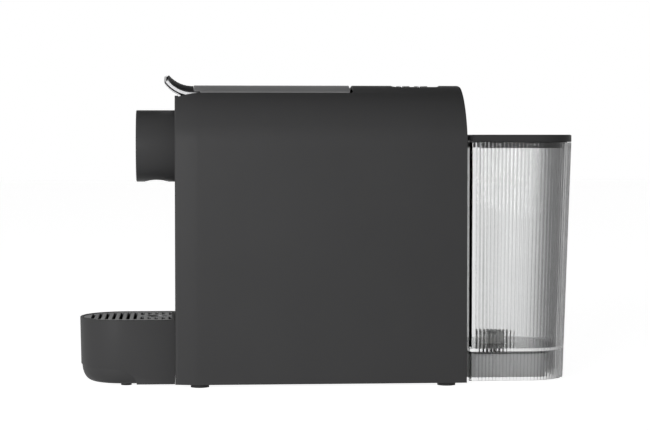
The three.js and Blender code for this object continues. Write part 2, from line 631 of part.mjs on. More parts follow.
// One tooth of an involute gear as [radius, half angle] pairs from root to tip.
function toothFlank(teeth) {
  const pitch = MODULE * teeth / 2;
  const base = pitch * Math.cos(PRESSURE_ANGLE);
  const root = pitch - 1.25 * MODULE;
  const tip = pitch + MODULE;
  const atPitch = (Math.PI * MODULE / 2 - BACKLASH / 2) / 2 / pitch;
  const halfAngle = (radius) => {
    const pressure = Math.acos(Math.min(1, base / radius));
    return atPitch + involute(PRESSURE_ANGLE) - involute(pressure);
  };
  const start = Math.max(root, base);
  const flank = [0, 0.5, 1].map((t) => {
    const radius = start + (tip - start) * t;
    return [radius, halfAngle(radius)];
  });
  return start > root ? [[root, halfAngle(start)], ...flank] : flank;
}

// The outline of teeth centred on the given angles, measured from +u towards +v.
function toothOutline(teeth, angles, centreU, centreV) {
  const flank = toothFlank(teeth);
  const at = ([radius, offset], angle) => [
    centreU + radius * Math.cos(angle + offset), centreV + radius * Math.sin(angle + offset)];
  const points = [];
  for (const angle of angles) {
    for (const step of flank) points.push(at([step[0], -step[1]], angle));
    for (const step of [...flank].reverse()) points.push(at(step, angle));
  }
  return points;
}

const PIN_HOLE = AXLE_RADIUS + RUN_GAP;

// A toothed wedge round the lever's axle, with a tongue that reaches forward under the lever.
function buildGearSector() {
  const pitchAngle = 2 * Math.PI / SECTOR_TEETH;
  const angles = [];
  for (let i = SECTOR_FIRST - 1; i <= SECTOR_LAST; i += 1) {
    angles.push(-Math.PI / 2 + (i + 0.5) * pitchAngle);
  }
  const teeth = toothOutline(SECTOR_TEETH, angles, PIVOT_X, PIVOT_Z);
  const wedge = prismY(polygon([[PIVOT_X, PIVOT_Z], ...teeth]), -GEAR_HALF_WIDTH, GEAR_HALF_WIDTH);
  const hub = cylinderY(KNUCKLE_RADIUS, PIVOT_X, PIVOT_Z, -GEAR_HALF_WIDTH, GEAR_HALF_WIDTH, 16);
  const under = RIDGE - LEVER_PLATE_THICKNESS - LEVER_ARM_THICKNESS - 2 * SEAT_GAP;
  const tongue = box(PIVOT_X - TONGUE_LENGTH, PIVOT_X, -GEAR_HALF_WIDTH, GEAR_HALF_WIDTH,
    under - TONGUE_THICKNESS, under);
  return cut(join(wedge, hub, tongue), cylinderY(PIN_HOLE, PIVOT_X, PIVOT_Z, -FAR, FAR, 16));
}
piece("lever", "gear_sector", buildGearSector(), WHITE_PLASTIC);

function buildIdlerGear() {
  const pitchAngle = 2 * Math.PI / IDLER_TEETH;
  const angles = Array.from({ length: IDLER_TEETH }, (_, i) => Math.PI / 2 + i * pitchAngle);
  const wheel = prismY(polygon(toothOutline(IDLER_TEETH, angles, PIVOT_X, IDLER_Z)), -GEAR_HALF_WIDTH,
    GEAR_HALF_WIDTH);
  return cut(wheel, cylinderY(PIN_HOLE, PIVOT_X, IDLER_Z, -FAR, FAR, 16));
}
piece("idler", "idler_gear", buildIdlerGear(), WHITE_PLASTIC);

const pin = (z, half) => cylinderY(AXLE_RADIUS, PIVOT_X, z, -half, half, 16);
piece("chassis", "lever_axle", pin(PIVOT_Z, AXLE_HALF_LENGTH), STEEL);
piece("chassis", "idler_axle", pin(IDLER_Z, EAR_INNER + EAR_THICKNESS + 1), STEEL);

// ---- Capsule carriage ----------------------------------------------------------------------------

const CARRIAGE_REAR = CARRIAGE_FRONT + CARRIAGE_LENGTH;
const CARRIAGE_TRAVEL = SECTOR_RADIUS * LEVER_OPEN_ANGLE;

// Straight rack teeth along the top of the rod; a gap lies right under the idler.
function rackOutline() {
  const pitch = Math.PI * MODULE;
  const flare = Math.tan(PRESSURE_ANGLE);
  const half = (pitch / 2 - BACKLASH / 2) / 2;
  const rear = PIVOT_X + 3 * pitch;
  const points = [[CARRIAGE_REAR - 1, ROD_BOTTOM], [rear, ROD_BOTTOM], [rear, ROD_TOP]];
  const count = Math.ceil((CARRIAGE_TRAVEL + 6 * pitch) / pitch);
  for (let i = 0; i < count; i += 1) {
    const x = rear - pitch * (i + 0.5);
    const foot = half + 1.25 * MODULE * flare;
    const crest = half - MODULE * flare;
    points.push([x + foot, ROD_TOP], [x + crest, RACK_Z + MODULE], [x - crest, RACK_Z + MODULE],
      [x - foot, ROD_TOP]);
  }
  points.push([CARRIAGE_REAR - 1, ROD_TOP]);
  return polygon(points);
}

function buildCarriage() {
  const barrel = cylinderX(CARRIAGE_RADIUS, 0, BREW_AXIS_Z, CARRIAGE_FRONT, CARRIAGE_REAR, 24);
  const cage = cylinderX(CAPSULE_RADIUS, 0, BREW_AXIS_Z, -FAR, CARRIAGE_FRONT + CAPSULE_DEPTH, 24);
  const rod = prismY(rackOutline(), -GEAR_HALF_WIDTH, GEAR_HALF_WIDTH);
  const lugs = box(CARRIAGE_REAR - 22, CARRIAGE_REAR - 2, -FRAME_INNER + SEAT_GAP, FRAME_INNER - SEAT_GAP,
    LUG_Z, LUG_Z + LUG_THICKNESS);
  const tubeHole = cylinderX(TUBE_RADIUS + SEAT_GAP, SLEEVE_Y, BREW_AXIS_Z, CARRIAGE_REAR - 5,
    CARRIAGE_REAR + 1, 12);
  return cut(join(barrel, rod, lugs), cage, tubeHole);
}
piece("carriage", "capsule_carriage", buildCarriage(), INNER_PLASTIC);

function buildInjector() {
  const back = CARRIAGE_FRONT + CAPSULE_DEPTH - SEAT_GAP;
  const disc = cylinderX(CAPSULE_RADIUS - 1, 0, BREW_AXIS_Z, back - 1.5, back, 24);
  const spikes = [0, 1, 2].map((i) => {
    const angle = i * Math.PI * 2 / 3;
    const spike = new THREE.ConeGeometry(1.4, 5, 8).rotateZ(Math.PI / 2);
    return toSolid(spike.translate(back - 3.8, 6 * Math.cos(angle), BREW_AXIS_Z + 6 * Math.sin(angle)));
  });
  return join(disc, ...spikes);
}
piece("carriage", "injector", buildInjector(), STEEL);

function ring(inner, outer, length, sides = 16) {
  const points = [[inner, 0], [outer, 0], [outer, length], [inner, length], [inner, 0]];
  return new THREE.LatheGeometry(points.map(([r, z]) => new THREE.Vector2(r, z)), sides);
}
const SEAL_THICKNESS = 1.2;
const sealRing = ring(CAPSULE_RADIUS + SEAT_GAP, CARRIAGE_RADIUS - SEAT_GAP, SEAL_THICKNESS);
const sealX = CARRIAGE_FRONT - SEAT_GAP - SEAL_THICKNESS;
const seal = toSolid(sealRing.rotateZ(-Math.PI / 2).translate(sealX, 0, BREW_AXIS_Z));
piece("carriage", "capsule_seal", seal, SILICONE);

// The water tube moves with the carriage and slides inside a fixed sleeve.
const tube = cylinderX(TUBE_RADIUS, SLEEVE_Y, BREW_AXIS_Z, CARRIAGE_REAR - 4.5, -2, 12);
piece("carriage", "water_tube", cut(tube, cylinderX(TUBE_BORE, SLEEVE_Y, BREW_AXIS_Z, -FAR, FAR, 8)), STEEL);
const sleeve = cylinderX(SLEEVE_RADIUS, SLEEVE_Y, BREW_AXIS_Z, SLEEVE_FRONT, SLEEVE_REAR, 16);
const sleeveBore = cylinderX(TUBE_RADIUS + SEAT_GAP, SLEEVE_Y, BREW_AXIS_Z, -FAR, FAR, 12);
piece("chassis", "water_sleeve", cut(sleeve, sleeveBore), BRASS);

// ---- Lever ---------------------------------------------------------------------------------------

// A curved strip seen from the side: level along the ridge, curling up at its front tip. The two depths
// are measured down from the top surface.
function leverStrip(upper, lower, front, rear) {
  const top = RIDGE - upper;
  const bottom = RIDGE - lower;
  const curlCentre = RIDGE + LEVER_CURL_RADIUS;
  const reach = Math.asin(LEVER_TIP_REACH / LEVER_CURL_RADIUS) * front;
  const shape = new THREE.Shape();
  shape.moveTo(rear, bottom);
  if (lower < 3) shape.lineTo(rear + 0.1, top - 0.8);
  shape.lineTo(rear - 1, top);
  shape.lineTo(LEVER_CURL_START, top);
  const down = -Math.PI / 2;
  shape.absarc(LEVER_CURL_START, curlCentre, LEVER_CURL_RADIUS + upper, down, down - reach, true);
  shape.absarc(LEVER_CURL_START, curlCentre, LEVER_CURL_RADIUS + lower, down - reach, down, false);
  return shape;
}

// The strip pushed across the width, then bent down at both sides to follow the arched top.
function archedStrip(shape, halfWidth) {
  const geometry = plainPrismY(shape, -halfWidth, halfWidth, { steps: 8, curveSegments: 5 });
  const position = geometry.getAttribute("position");
  for (let i = 0; i < position.count; i += 1) position.setZ(i, position.getZ(i) - sag(position.getY(i)));
  return toSolid(geometry);
}

const ARM_UPPER = LEVER_PLATE_THICKNESS + SEAT_GAP;
const ARM_LOWER = ARM_UPPER + LEVER_ARM_THICKNESS;

function buildLeverArm() {
  const base = archedStrip(leverStrip(ARM_UPPER, ARM_LOWER, 1, LEVER_REAR - 1), LEVER_HALF_WIDTH);
  const full = archedStrip(leverStrip(0, ARM_LOWER, 1, LEVER_REAR - 1), LEVER_HALF_WIDTH);
  const inlay = prismZ(roundedRectangle(-FAR, FAR, -LEVER_HALF_WIDTH + BAND, LEVER_HALF_WIDTH - BAND, 1),
    0, FAR * 2, 2);
  const band = cut(full, inlay, box(GRIP_REAR + BAND_OVERLAP, FAR, -FAR, FAR, 0, FAR * 2));
  const relief = EAR_INNER + EAR_THICKNESS + 0.8;
  const rearRelief = box(0, FAR, -relief, relief, 0, FAR * 2);
  const postTop = RIDGE - ARM_LOWER - sag(KNUCKLE_Y + KNUCKLE_WIDTH) + 0.4;
  const knuckle = (y) => join(
    cylinderY(KNUCKLE_RADIUS, PIVOT_X, PIVOT_Z, y, y + KNUCKLE_WIDTH, 16),
    box(PIVOT_X - 2, PIVOT_X + 2, y, y + KNUCKLE_WIDTH, PIVOT_Z, postTop));
  const knuckles = [knuckle(KNUCKLE_Y), knuckle(-KNUCKLE_Y - KNUCKLE_WIDTH)];
  const hole = cylinderY(PIN_HOLE, PIVOT_X, PIVOT_Z, -FAR, FAR, 16);
  return cut(join(cut(base, rearRelief), band, ...knuckles), hole);
}
piece("lever", "lever_arm", buildLeverArm(), CHROME);

function buildLeverPlate() {
  const strip = archedStrip(leverStrip(0, LEVER_PLATE_THICKNESS, 1, LEVER_REAR), LEVER_HALF_WIDTH);
  const outline = roundedRectangle(GRIP_REAR, LEVER_REAR + 1, -LEVER_HALF_WIDTH, LEVER_HALF_WIDTH, 2);
  const side = LEVER_HALF_WIDTH - BAND - SEAT_GAP;
  const bandEnd = GRIP_REAR + BAND_OVERLAP + SEAT_GAP;
  const edges = box(-FAR, bandEnd, side, FAR, 0, FAR * 2);
  const otherEdges = box(-FAR, bandEnd, -FAR, -side, 0, FAR * 2);
  return cut(strip.intersect(prismZ(outline, 0, FAR * 2, 3)), edges, otherEdges);
}
piece("lever", "lever_plate", buildLeverPlate(), SATIN_GREY);

function buildLeverGrip() {
  const half = LEVER_HALF_WIDTH - BAND - SEAT_GAP;
  const strip = archedStrip(leverStrip(GRIP_DEPTH, LEVER_PLATE_THICKNESS, 0.95, LEVER_REAR), half);
  return strip.intersect(box(-FAR, GRIP_REAR - SEAT_GAP, -FAR, FAR, 0, FAR * 2));
}
piece("lever", "lever_grip", buildLeverGrip(), GLOSS_BLACK);

// ---- Drip tray, grid and used-capsule container --------------------------------------------------

// The plan of the tray drawn in by an inset: straight sides and a rounded front end.
function trayPlan(inset, rear = TRAY_REAR - inset) {
  const shape = new THREE.Shape();
  const half = TRAY_HALF_WIDTH - inset;
  shape.moveTo(rear, -half);
  shape.lineTo(rear, half);
  shape.absellipse(TRAY_FRONT + TRAY_NOSE, 0, TRAY_NOSE - inset, half, Math.PI / 2, Math.PI * 1.5, false, 0);
  return shape;
}

const GRID_INSET = TRAY_WALL + SEAT_GAP;
const GRID_TOP = TRAY_RIM - SEAT_GAP;
const LEDGE_Z = GRID_TOP - GRID_THICKNESS - SEAT_GAP;

function buildDripTray() {
  const outer = prismZ(trayPlan(0), TRAY_BOTTOM, TRAY_RIM, 12);
  const recess = prismZ(trayPlan(TRAY_WALL), LEDGE_Z, FAR, 12);
  const upperWell = prismZ(trayPlan(TRAY_WALL + LEDGE), TRAY_BOTTOM + UNDERCUT_HEIGHT + 2, FAR, 8);
  const lowerWell = prismZ(trayPlan(UNDERCUT_DEPTH + 3), TRAY_BOTTOM + TRAY_WALL, FAR, 8);
  const top = TRAY_BOTTOM + UNDERCUT_HEIGHT;
  const edge = new THREE.Shape();
  edge.moveTo(UNDERCUT_REAR, TRAY_BOTTOM - 1);
  edge.lineTo(UNDERCUT_REAR, TRAY_BOTTOM);
  edge.absellipse(UNDERCUT_REAR - UNDERCUT_CURVE, TRAY_BOTTOM, UNDERCUT_CURVE, UNDERCUT_HEIGHT,
    0, Math.PI / 2, false, 0);
  edge.lineTo(TRAY_FRONT - 5, top);
  edge.lineTo(TRAY_FRONT - 5, TRAY_BOTTOM - 1);
  const rounded = new THREE.ExtrudeGeometry(trayPlan(1, TRAY_REAR), {
    depth: UNDERCUT_HEIGHT * 2,
    bevelThickness: UNDERCUT_HEIGHT,
    bevelSize: UNDERCUT_DEPTH - 1,
    bevelOffset: 1 - UNDERCUT_DEPTH,
    bevelSegments: 3,
    curveSegments: 8,
  }).translate(0, 0, TRAY_BOTTOM + UNDERCUT_HEIGHT);
  const undercut = cut(prismY(edge, -FAR, FAR, 6), toSolid(rounded));
  const hook = (y) => box(TRAY_REAR - 1, BODY_FRONT + PANEL_THICKNESS + 1, y - HOOK_HALF_WIDTH,
    y + HOOK_HALF_WIDTH, HOOK_BOTTOM, HOOK_TOP);
  return cut(join(cut(outer, undercut), hook(HOOK_Y), hook(-HOOK_Y)), recess, upperWell, lowerWell);
}
piece("tray", "drip_tray", buildDripTray(), MATTE_BLACK);

const TRAY_FOOT_X = UNDERCUT_REAR - 7;
const TRAY_FOOT_RADIUS = 3.5;
for (const [side, sign] of [["left", -1], ["right", 1]]) {
  const foot = cylinderZ(TRAY_FOOT_RADIUS, TRAY_FOOT_X, sign * 20, 0, TRAY_BOTTOM - SEAT_GAP, 12);
  piece("tray", `tray_foot_${side}`, foot, RUBBER);
}

// The container's front closes the bay of the front panel; its box reaches back to the divider.
function buildContainer() {
  const floor = BASE_TOP + SEAT_GAP;
  const front = BODY_FRONT;
  const half = CONTAINER_HALF_WIDTH;
  const shell = box(front + 1, CONTAINER_REAR, -half, half, floor, CONTAINER_TOP);
  const inside = box(front + PANEL_THICKNESS, CONTAINER_REAR - CONTAINER_WALL, -half + CONTAINER_WALL,
    half - CONTAINER_WALL, floor + CONTAINER_WALL, FAR);
  const face = box(front, front + PANEL_THICKNESS, -BAY_HALF_WIDTH + FIT_GAP, BAY_HALF_WIDTH - FIT_GAP, floor,
    BAY_TOP - FIT_GAP);
  const hookHalf = HOOK_HALF_WIDTH + SEAT_GAP;
  const slot = (y) => box(front - 1, front + PANEL_THICKNESS + 2, y - hookHalf, y + hookHalf,
    HOOK_BOTTOM - SEAT_GAP, HOOK_TOP + SEAT_GAP);
  return cut(join(cut(shell, inside), face), slot(HOOK_Y), slot(-HOOK_Y));
}
piece("tray", "capsule_container", buildContainer(), MATTE_BLACK);

function buildDripGrid() {
  const plate = prismZ(trayPlan(GRID_INSET), GRID_TOP - GRID_THICKNESS, GRID_TOP, 12);
  const slots = [];
  for (let i = 0; i < SLOT_COUNT; i += 1) {
    const x = SLOT_FIRST_X - SLOT_PITCH * i;
    const reach = Math.min(1, (x - TRAY_FRONT) / TRAY_NOSE);
    const half = 0.7 * TRAY_HALF_WIDTH * Math.sqrt(1 - (1 - reach) ** 2);
    slots.push(box(x - SLOT_WIDTH / 2, x + SLOT_WIDTH / 2, -half, half, 0, FAR));
  }
  const ringPlate = cylinderZ(GRID_RING_RADIUS, GRID_HOLE_X, 0, -FAR, FAR * 2, 24);
  const allSlots = cut(join(...slots), ringPlate);
  return cut(plate, allSlots, cylinderZ(GRID_HOLE_RADIUS, GRID_HOLE_X, 0, 0, FAR, 24));
}
piece("grid", "drip_grid", buildDripGrid(), SATIN_GREY);

// ---- Water tank ----------------------------------------------------------------------------------

function tankPlan(inset) {
  const shape = new THREE.Shape();
  const half = TANK_HALF_WIDTH - inset;
  const corner = TANK_CORNER - inset;
  const rear = TANK_REAR - inset;
  const small = TANK_FRONT_CORNER;
  const front = TANK_FRONT + inset + small;
  shape.moveTo(front, -half);
  shape.absarc(rear - corner, -half + corner, corner, -Math.PI / 2, 0);
  shape.absarc(rear - corner, half - corner, corner, 0, Math.PI / 2);
  shape.absarc(front, half - small, small, Math.PI / 2, Math.PI);
  shape.absarc(front, -half + small, small, Math.PI, Math.PI * 1.5);
  return shape;
}

// The tank narrows downwards, away from its front face.
function draft(geometry) {
  const position = geometry.getAttribute("position");
  for (let i = 0; i < position.count; i += 1) {
    const scale = 1 - TANK_DRAFT * Math.max(0, TANK_TOP - position.getZ(i)) / (TANK_TOP - TANK_BOTTOM);
    position.setX(i, TANK_FRONT + (position.getX(i) - TANK_FRONT) * scale);
    position.setY(i, position.getY(i) * (1 - (1 - scale) / 2));
  }
  return geometry;
}

function tankPrism(inset, z0, z1) {
  const geometry = new THREE.ExtrudeGeometry(tankPlan(inset), { depth: z1 - z0, bevelEnabled: false,
    curveSegments: 5 });
  return toSolid(draft(geometry.translate(0, 0, z0)));
}

const HINGE_X = TANK_FRONT + LID_BARREL;
const HINGE_Z = TANK_TOP + SEAT_GAP + LID_BARREL;
const FLOOR_TOP = TANK_FLOOR + TANK_WALL;

function buildWaterTank() {
  const outer = tankPrism(0, TANK_BOTTOM, TANK_TOP);
  const inside = tankPrism(TANK_WALL, FLOOR_TOP, TANK_TOP + 1);
  const skirt = tankPrism(TANK_WALL, TANK_BOTTOM - 1, TANK_FLOOR);
  const notchHalf = DOCK_HALF_WIDTH + 2;
  const dockNotch = box(0, TANK_FRONT + TANK_WALL + 1, -notchHalf, notchHalf, 0, TANK_FLOOR);
  const rail = (y) => box(BODY_REAR + FIT_GAP, TANK_FRONT + 1, y - 1.2, y + 1.2, TANK_FLOOR + 1,
    TANK_TOP - 10);
  const rest = (y) => box(TANK_FRONT + 6, DOCK_REAR - 4, y - 1, y + 1, DOCK_TOP + SEAT_GAP, TANK_FLOOR + 1);
  const earRadius = LID_BARREL - HINGE_EAR_GAP;
  const ear = (y) => join(
    box(HINGE_X - earRadius, HINGE_X + earRadius, y, y + HINGE_EAR_THICKNESS, TANK_TOP - 3, HINGE_Z),
    cylinderY(earRadius, HINGE_X, HINGE_Z, y, y + HINGE_EAR_THICKNESS, 16));
  const extras = [rail(RAIL_Y), rail(-RAIL_Y), rest(REST_Y), rest(-REST_Y), ear(HINGE_EAR_Y),
    ear(-HINGE_EAR_Y - HINGE_EAR_THICKNESS)];
  const floorHole = cylinderZ(VALVE_RADIUS + SEAT_GAP, VALVE_X, 0, 0, FLOOR_TOP + 2, 20);
  const pinHole = cylinderY(LID_PIN_RADIUS + 0.2, HINGE_X, HINGE_Z, -FAR, FAR, 12);
  return cut(join(cut(outer, inside, skirt, dockNotch), ...extras), floorHole, pinHole);
}
piece("tank", "water_tank", buildWaterTank(), CLEAR_PLASTIC);

// The lid: a plate with a rounded front edge, a rim inside the tank, and a pin through the tank's ears.
function buildTankLid() {
  const under = TANK_TOP + SEAT_GAP;
  const plan = tankPrism(0, under, LID_TOP).intersect(box(HINGE_X, FAR, -FAR, FAR, 0, FAR));
  const barrelHalf = TANK_HALF_WIDTH - 1;
  const barrel = cylinderY(LID_BARREL, HINGE_X, HINGE_Z, -barrelHalf, barrelHalf, 20);
  const rimInset = TANK_WALL + LID_RIM_GAP;
  const rim = cut(tankPrism(rimInset, under - LID_RIM_DEPTH, under + 1),
    tankPrism(rimInset + LID_RIM_THICKNESS, 0, FAR)).intersect(box(HINGE_X + 4.6, FAR, -FAR, FAR, 0, FAR));
  const pocket = (y) => box(0, HINGE_X + LID_BARREL + 0.6, y - HINGE_EAR_GAP,
    y + HINGE_EAR_THICKNESS + HINGE_EAR_GAP, 0, FAR);
  const pockets = [pocket(HINGE_EAR_Y), pocket(-HINGE_EAR_Y - HINGE_EAR_THICKNESS)];
  const half = HINGE_EAR_Y + HINGE_EAR_THICKNESS;
  const hingePin = cylinderY(LID_PIN_RADIUS, HINGE_X, HINGE_Z, -half, half, 12);
  return join(cut(join(plan, barrel, rim), ...pockets), hingePin);
}
piece("tank_lid", "tank_lid", buildTankLid(), GLOSS_BLACK);

// ---- Tank valve, strainer and dock ---------------------------------------------------------------

const HOUSING_TOP = FLOOR_TOP + 1.5;
const STEM_BOTTOM = DOCK_TOP - 0.2;
const STEM_FOOT = 0.8;

function buildValveHousing() {
  const barrel = cylinderZ(VALVE_RADIUS, VALVE_X, 0, HOUSING_BOTTOM, HOUSING_TOP, 20);
  const bore = cylinderZ(VALVE_BORE, VALVE_X, 0, 0, HOUSING_TOP - SEAT_THICKNESS, 20);
  return cut(barrel, bore, cylinderZ(VALVE_THROAT, VALVE_X, 0, 0, FAR, 16));
}
piece("tank", "valve_housing", buildValveHousing(), WHITE_PLASTIC);

function buildValvePoppet() {
  const under = HOUSING_TOP + SEAT_GAP;
  const disc = cylinderZ(VALVE_BORE - SEAT_GAP, VALVE_X, 0, under, under + SEAT_THICKNESS, 20);
  const stem = cylinderZ(VALVE_STEM_RADIUS, VALVE_X, 0, STEM_BOTTOM, under + 0.7, 12);
  const foot = cylinderZ(VALVE_STEM_RADIUS * 2, VALVE_X, 0, STEM_BOTTOM, STEM_BOTTOM + STEM_FOOT, 16);
  return join(disc, stem, foot);
}
piece("valve", "valve_poppet", buildValvePoppet(), SILICONE);

class Helix extends THREE.Curve {
  constructor(radius, height, turns) {
    super();
    Object.assign(this, { radius, height, turns });
  }
  getPoint(t) {
    const angle = t * this.turns * Math.PI * 2;
    return new THREE.Vector3(this.radius * Math.cos(angle), this.radius * Math.sin(angle), t * this.height);
  }
}
const springFoot = STEM_BOTTOM + STEM_FOOT + SEAT_GAP + SPRING_WIRE;
const springHead = HOUSING_TOP - SEAT_THICKNESS - SEAT_GAP - SPRING_WIRE;
const springPath = new Helix(SPRING_RADIUS, springHead - springFoot, SPRING_TURNS);
const wire = new THREE.Shape().absarc(0, 0, SPRING_WIRE, 0, Math.PI * 2);
const spring = new THREE.ExtrudeGeometry(wire, { steps: 24, extrudePath: springPath, curveSegments: 2 });
piece("valve", "valve_spring", toSolid(spring.translate(VALVE_X, 0, springFoot)), STEEL);

function buildStrainer() {
  const top = FLOOR_TOP + SEAT_GAP + STRAINER_HEIGHT;
  const cup = cylinderZ(STRAINER_RADIUS, VALVE_X, 0, FLOOR_TOP + SEAT_GAP, top, 20);
  return cut(cup, cylinderZ(STRAINER_RADIUS - STRAINER_WALL, VALVE_X, 0, 0, top - STRAINER_WALL, 20));
}
piece("tank", "tank_strainer", buildStrainer(), WHITE_PLASTIC);

// An arm from the rear panel that carries the tank; the coupling stands in its well.
function buildTankDock() {
  const arm = prismZ(roundedRectangle(BODY_REAR + SEAT_GAP, DOCK_REAR, -DOCK_HALF_WIDTH, DOCK_HALF_WIDTH, 8),
    DOCK_BOTTOM, DOCK_TOP, 4);
  const well = cylinderZ(VALVE_RADIUS + 1, VALVE_X, 0, DOCK_WELL_BOTTOM, FAR, 20);
  const channelHalf = HOSE_RADIUS + SEAT_GAP;
  const channel = box(0, VALVE_X + channelHalf + 0.2, -channelHalf, channelHalf, 0,
    INLET_HOSE_Z + channelHalf + 0.1);
  return cut(arm, well, channel);
}
piece("chassis", "tank_dock", buildTankDock(), DOCK_GREY);

function buildInletCoupling() {
  const floor = DOCK_WELL_BOTTOM + SEAT_GAP;
  const top = DOCK_TOP - 2;
  const spigot = cylinderZ(COUPLING_RADIUS, VALVE_X, 0, INLET_HOSE_Z, top, 16);
  const pinTop = cylinderZ(0.8, VALVE_X, 0, top - 1.5, STEM_BOTTOM - SEAT_GAP, 10);
  const base = cylinderZ(VALVE_RADIUS - 0.4, VALVE_X, 0, floor, floor + 1.3, 16);
  return join(spigot, pinTop, base);
}
piece("chassis", "inlet_coupling", buildInletCoupling(), WHITE_PLASTIC);
const couplingRing = ring(COUPLING_RADIUS + 0.15, VALVE_BORE - 0.15, 1.5).rotateX(Math.PI / 2);
piece("chassis", "coupling_seal", toSolid(couplingRing.translate(VALVE_X, 0, HOUSING_BOTTOM + 2)), SILICONE);

// ---- Pump, heater and hoses ----------------------------------------------------------------------

function buildPump() {
  const core = cylinderX(PUMP_RADIUS, 0, PUMP_Z, PUMP_FRONT, PUMP_REAR, 20);
  const outlet = cylinderX(4, 0, PUMP_Z, PUMP_FRONT - PUMP_PORT, PUMP_FRONT + 1, 16);
  const inlet = cylinderX(4, 0, PUMP_Z, PUMP_REAR - 1, PUMP_REAR + PUMP_PORT, 16);
  return join(core, outlet, inlet);
}
piece("chassis", "pump", buildPump(), WHITE_PLASTIC);

function buildPumpCoil() {
  const block = box(0, COIL_LENGTH, -COIL_HALF_WIDTH, COIL_HALF_WIDTH, PUMP_Z - COIL_HALF_WIDTH,
    PUMP_Z + COIL_HALF_WIDTH);
  return cut(block, cylinderX(PUMP_RADIUS + SEAT_GAP, 0, PUMP_Z, -FAR, FAR, 20));
}
piece("chassis", "pump_coil", buildPumpCoil(), STEEL);

for (const [end, x] of [["front", MOUNT_X[0]], ["rear", MOUNT_X[1]]]) {
  const block = box(x - MOUNT_HALF_LENGTH, x + MOUNT_HALF_LENGTH, -MOUNT_HALF_WIDTH, MOUNT_HALF_WIDTH,
    BASE_TOP + SEAT_GAP, PUMP_Z + PUMP_RADIUS + 3);
  const hole = cylinderX(PUMP_RADIUS + SEAT_GAP, 0, PUMP_Z, -FAR, FAR, 20);
  piece("chassis", `pump_mount_${end}`, cut(block, hole), RUBBER);
}

function buildThermoblock() {
  const { front, rear, half, bottom, top } = HEATER;
  const block = prismZ(roundedRectangle(front, rear, -half, half, 8), bottom, top, 4);
  const legs = [];
  for (const x of [front + 10, rear - 10]) {
    for (const y of [-half + 8, half - 8]) {
      legs.push(cylinderZ(3, x, y, SHELF_Z + DIVIDER_THICKNESS + SEAT_GAP, bottom + 1, 12));
    }
  }
  const grooves = [];
  for (let x = front + 12; x < rear - 8; x += 8) {
    grooves.push(box(x, x + 3, -half + 6, half - 6, top - 4, FAR));
  }
  return cut(join(block, ...legs), ...grooves);
}
piece("chassis", "thermoblock", buildThermoblock(), ALUMINIUM);

function buildThermostat() {
  const x = (HEATER.front + HEATER.rear) / 2;
  const side = -HEATER.half - SEAT_GAP;
  const z = HEATER.bottom + 24;
  return join(cylinderY(8, x, z, side - 6, side, 16), cylinderY(5, x, z, side - 10, side - 5, 16));
}
piece("chassis", "thermostat", buildThermostat(), ALUMINIUM);

function buildFlowMeter() {
  const body = cylinderZ(METER.radius, METER.x, METER.y, BASE_TOP + SEAT_GAP, METER.top, 20);
  return join(body, cylinderZ(3, METER.x, METER.y, METER.top - 1, METER.top + METER.port, 12));
}
piece("chassis", "flow_meter", buildFlowMeter(), WHITE_PLASTIC);

const inletHose = hose([
  [VALVE_X - 6.2, 0, INLET_HOSE_Z], [BODY_REAR, 0, INLET_HOSE_Z], [BODY_REAR - 8, 0, INLET_HOSE_Z],
  [METER.x + 5, 3, INLET_HOSE_Z + 2], [METER.x, METER.y - METER.radius - 6, METER_PORT_Z],
  [METER.x, METER.y - METER.radius - 2 * SEAT_GAP, METER_PORT_Z]], WATER_HOSE_RADIUS, 12);
piece("chassis", "inlet_hose", inletHose, SILICONE);
const pumpHose = hose([
  [METER.x, METER.y, METER.top + METER.port + SEAT_GAP], [METER.x, METER.y, METER.top + METER.port + 6],
  [METER.x + 5, METER.y - 12, METER.top + 16], [PUMP_REAR + 15, 3, PUMP_Z + 6],
  [PUMP_REAR + PUMP_PORT + 5, 0, PUMP_Z],
  [PUMP_REAR + PUMP_PORT + SEAT_GAP, 0, PUMP_Z]], WATER_HOSE_RADIUS, 14);
piece("chassis", "pump_hose", pumpHose, SILICONE);
const pressureHose = hose([
  [PUMP_FRONT - PUMP_PORT - SEAT_GAP, 0, PUMP_Z], [PUMP_FRONT - 9.5, 0, PUMP_Z + 0.3],
  [PUMP_FRONT - 10, 10, PUMP_Z + 6], [PUMP_FRONT - 2, 26, PUMP_Z + 14],
  [20, PRESSURE_HOSE_Y, PUMP_Z + 16], [PRESSURE_HOSE_X - 6, PRESSURE_HOSE_Y, PUMP_Z + 18],
  [PRESSURE_HOSE_X, PRESSURE_HOSE_Y, SHELF_Z - 2], [PRESSURE_HOSE_X, PRESSURE_HOSE_Y, SHELF_Z + 7],
  [PRESSURE_HOSE_X - 4, PRESSURE_HOSE_Y, HEATER.bottom + 10],
  [PRESSURE_HOSE_X - 12, PRESSURE_HOSE_Y, HEATER.bottom + 13.5],
  [PRESSURE_HOSE_X - 14, HEATER.half + 4, HEATER.bottom + 14],
  [PRESSURE_HOSE_X - 14, HEATER.half + SEAT_GAP, HEATER.bottom + 14]], THIN_HOSE_RADIUS, 26);
piece("chassis", "pressure_hose", pressureHose, SILICONE);
const brewHose = hose([
  [SLEEVE_REAR + SEAT_GAP, SLEEVE_Y, BREW_AXIS_Z], [SLEEVE_REAR + 10, SLEEVE_Y, BREW_AXIS_Z - 2],
  [SLEEVE_REAR + 16, SLEEVE_Y, BREW_AXIS_Z - 12], [SLEEVE_REAR + 16, SLEEVE_Y, HEATER.top + 17],
  [SLEEVE_REAR + 14, SLEEVE_Y, HEATER.top + SEAT_GAP]], THIN_HOSE_RADIUS, 18);
piece("chassis", "brew_hose", brewHose, SILICONE);

// ---- Buttons -------------------------------------------------------------------------------------

const BEZEL_TOP = RIDGE - BEZEL_DROP;
const FLANGE_TOP = RIDGE - WALL - sag(BEZEL_HALF_WIDTH + BEZEL_FLANGE) - SEAT_GAP;

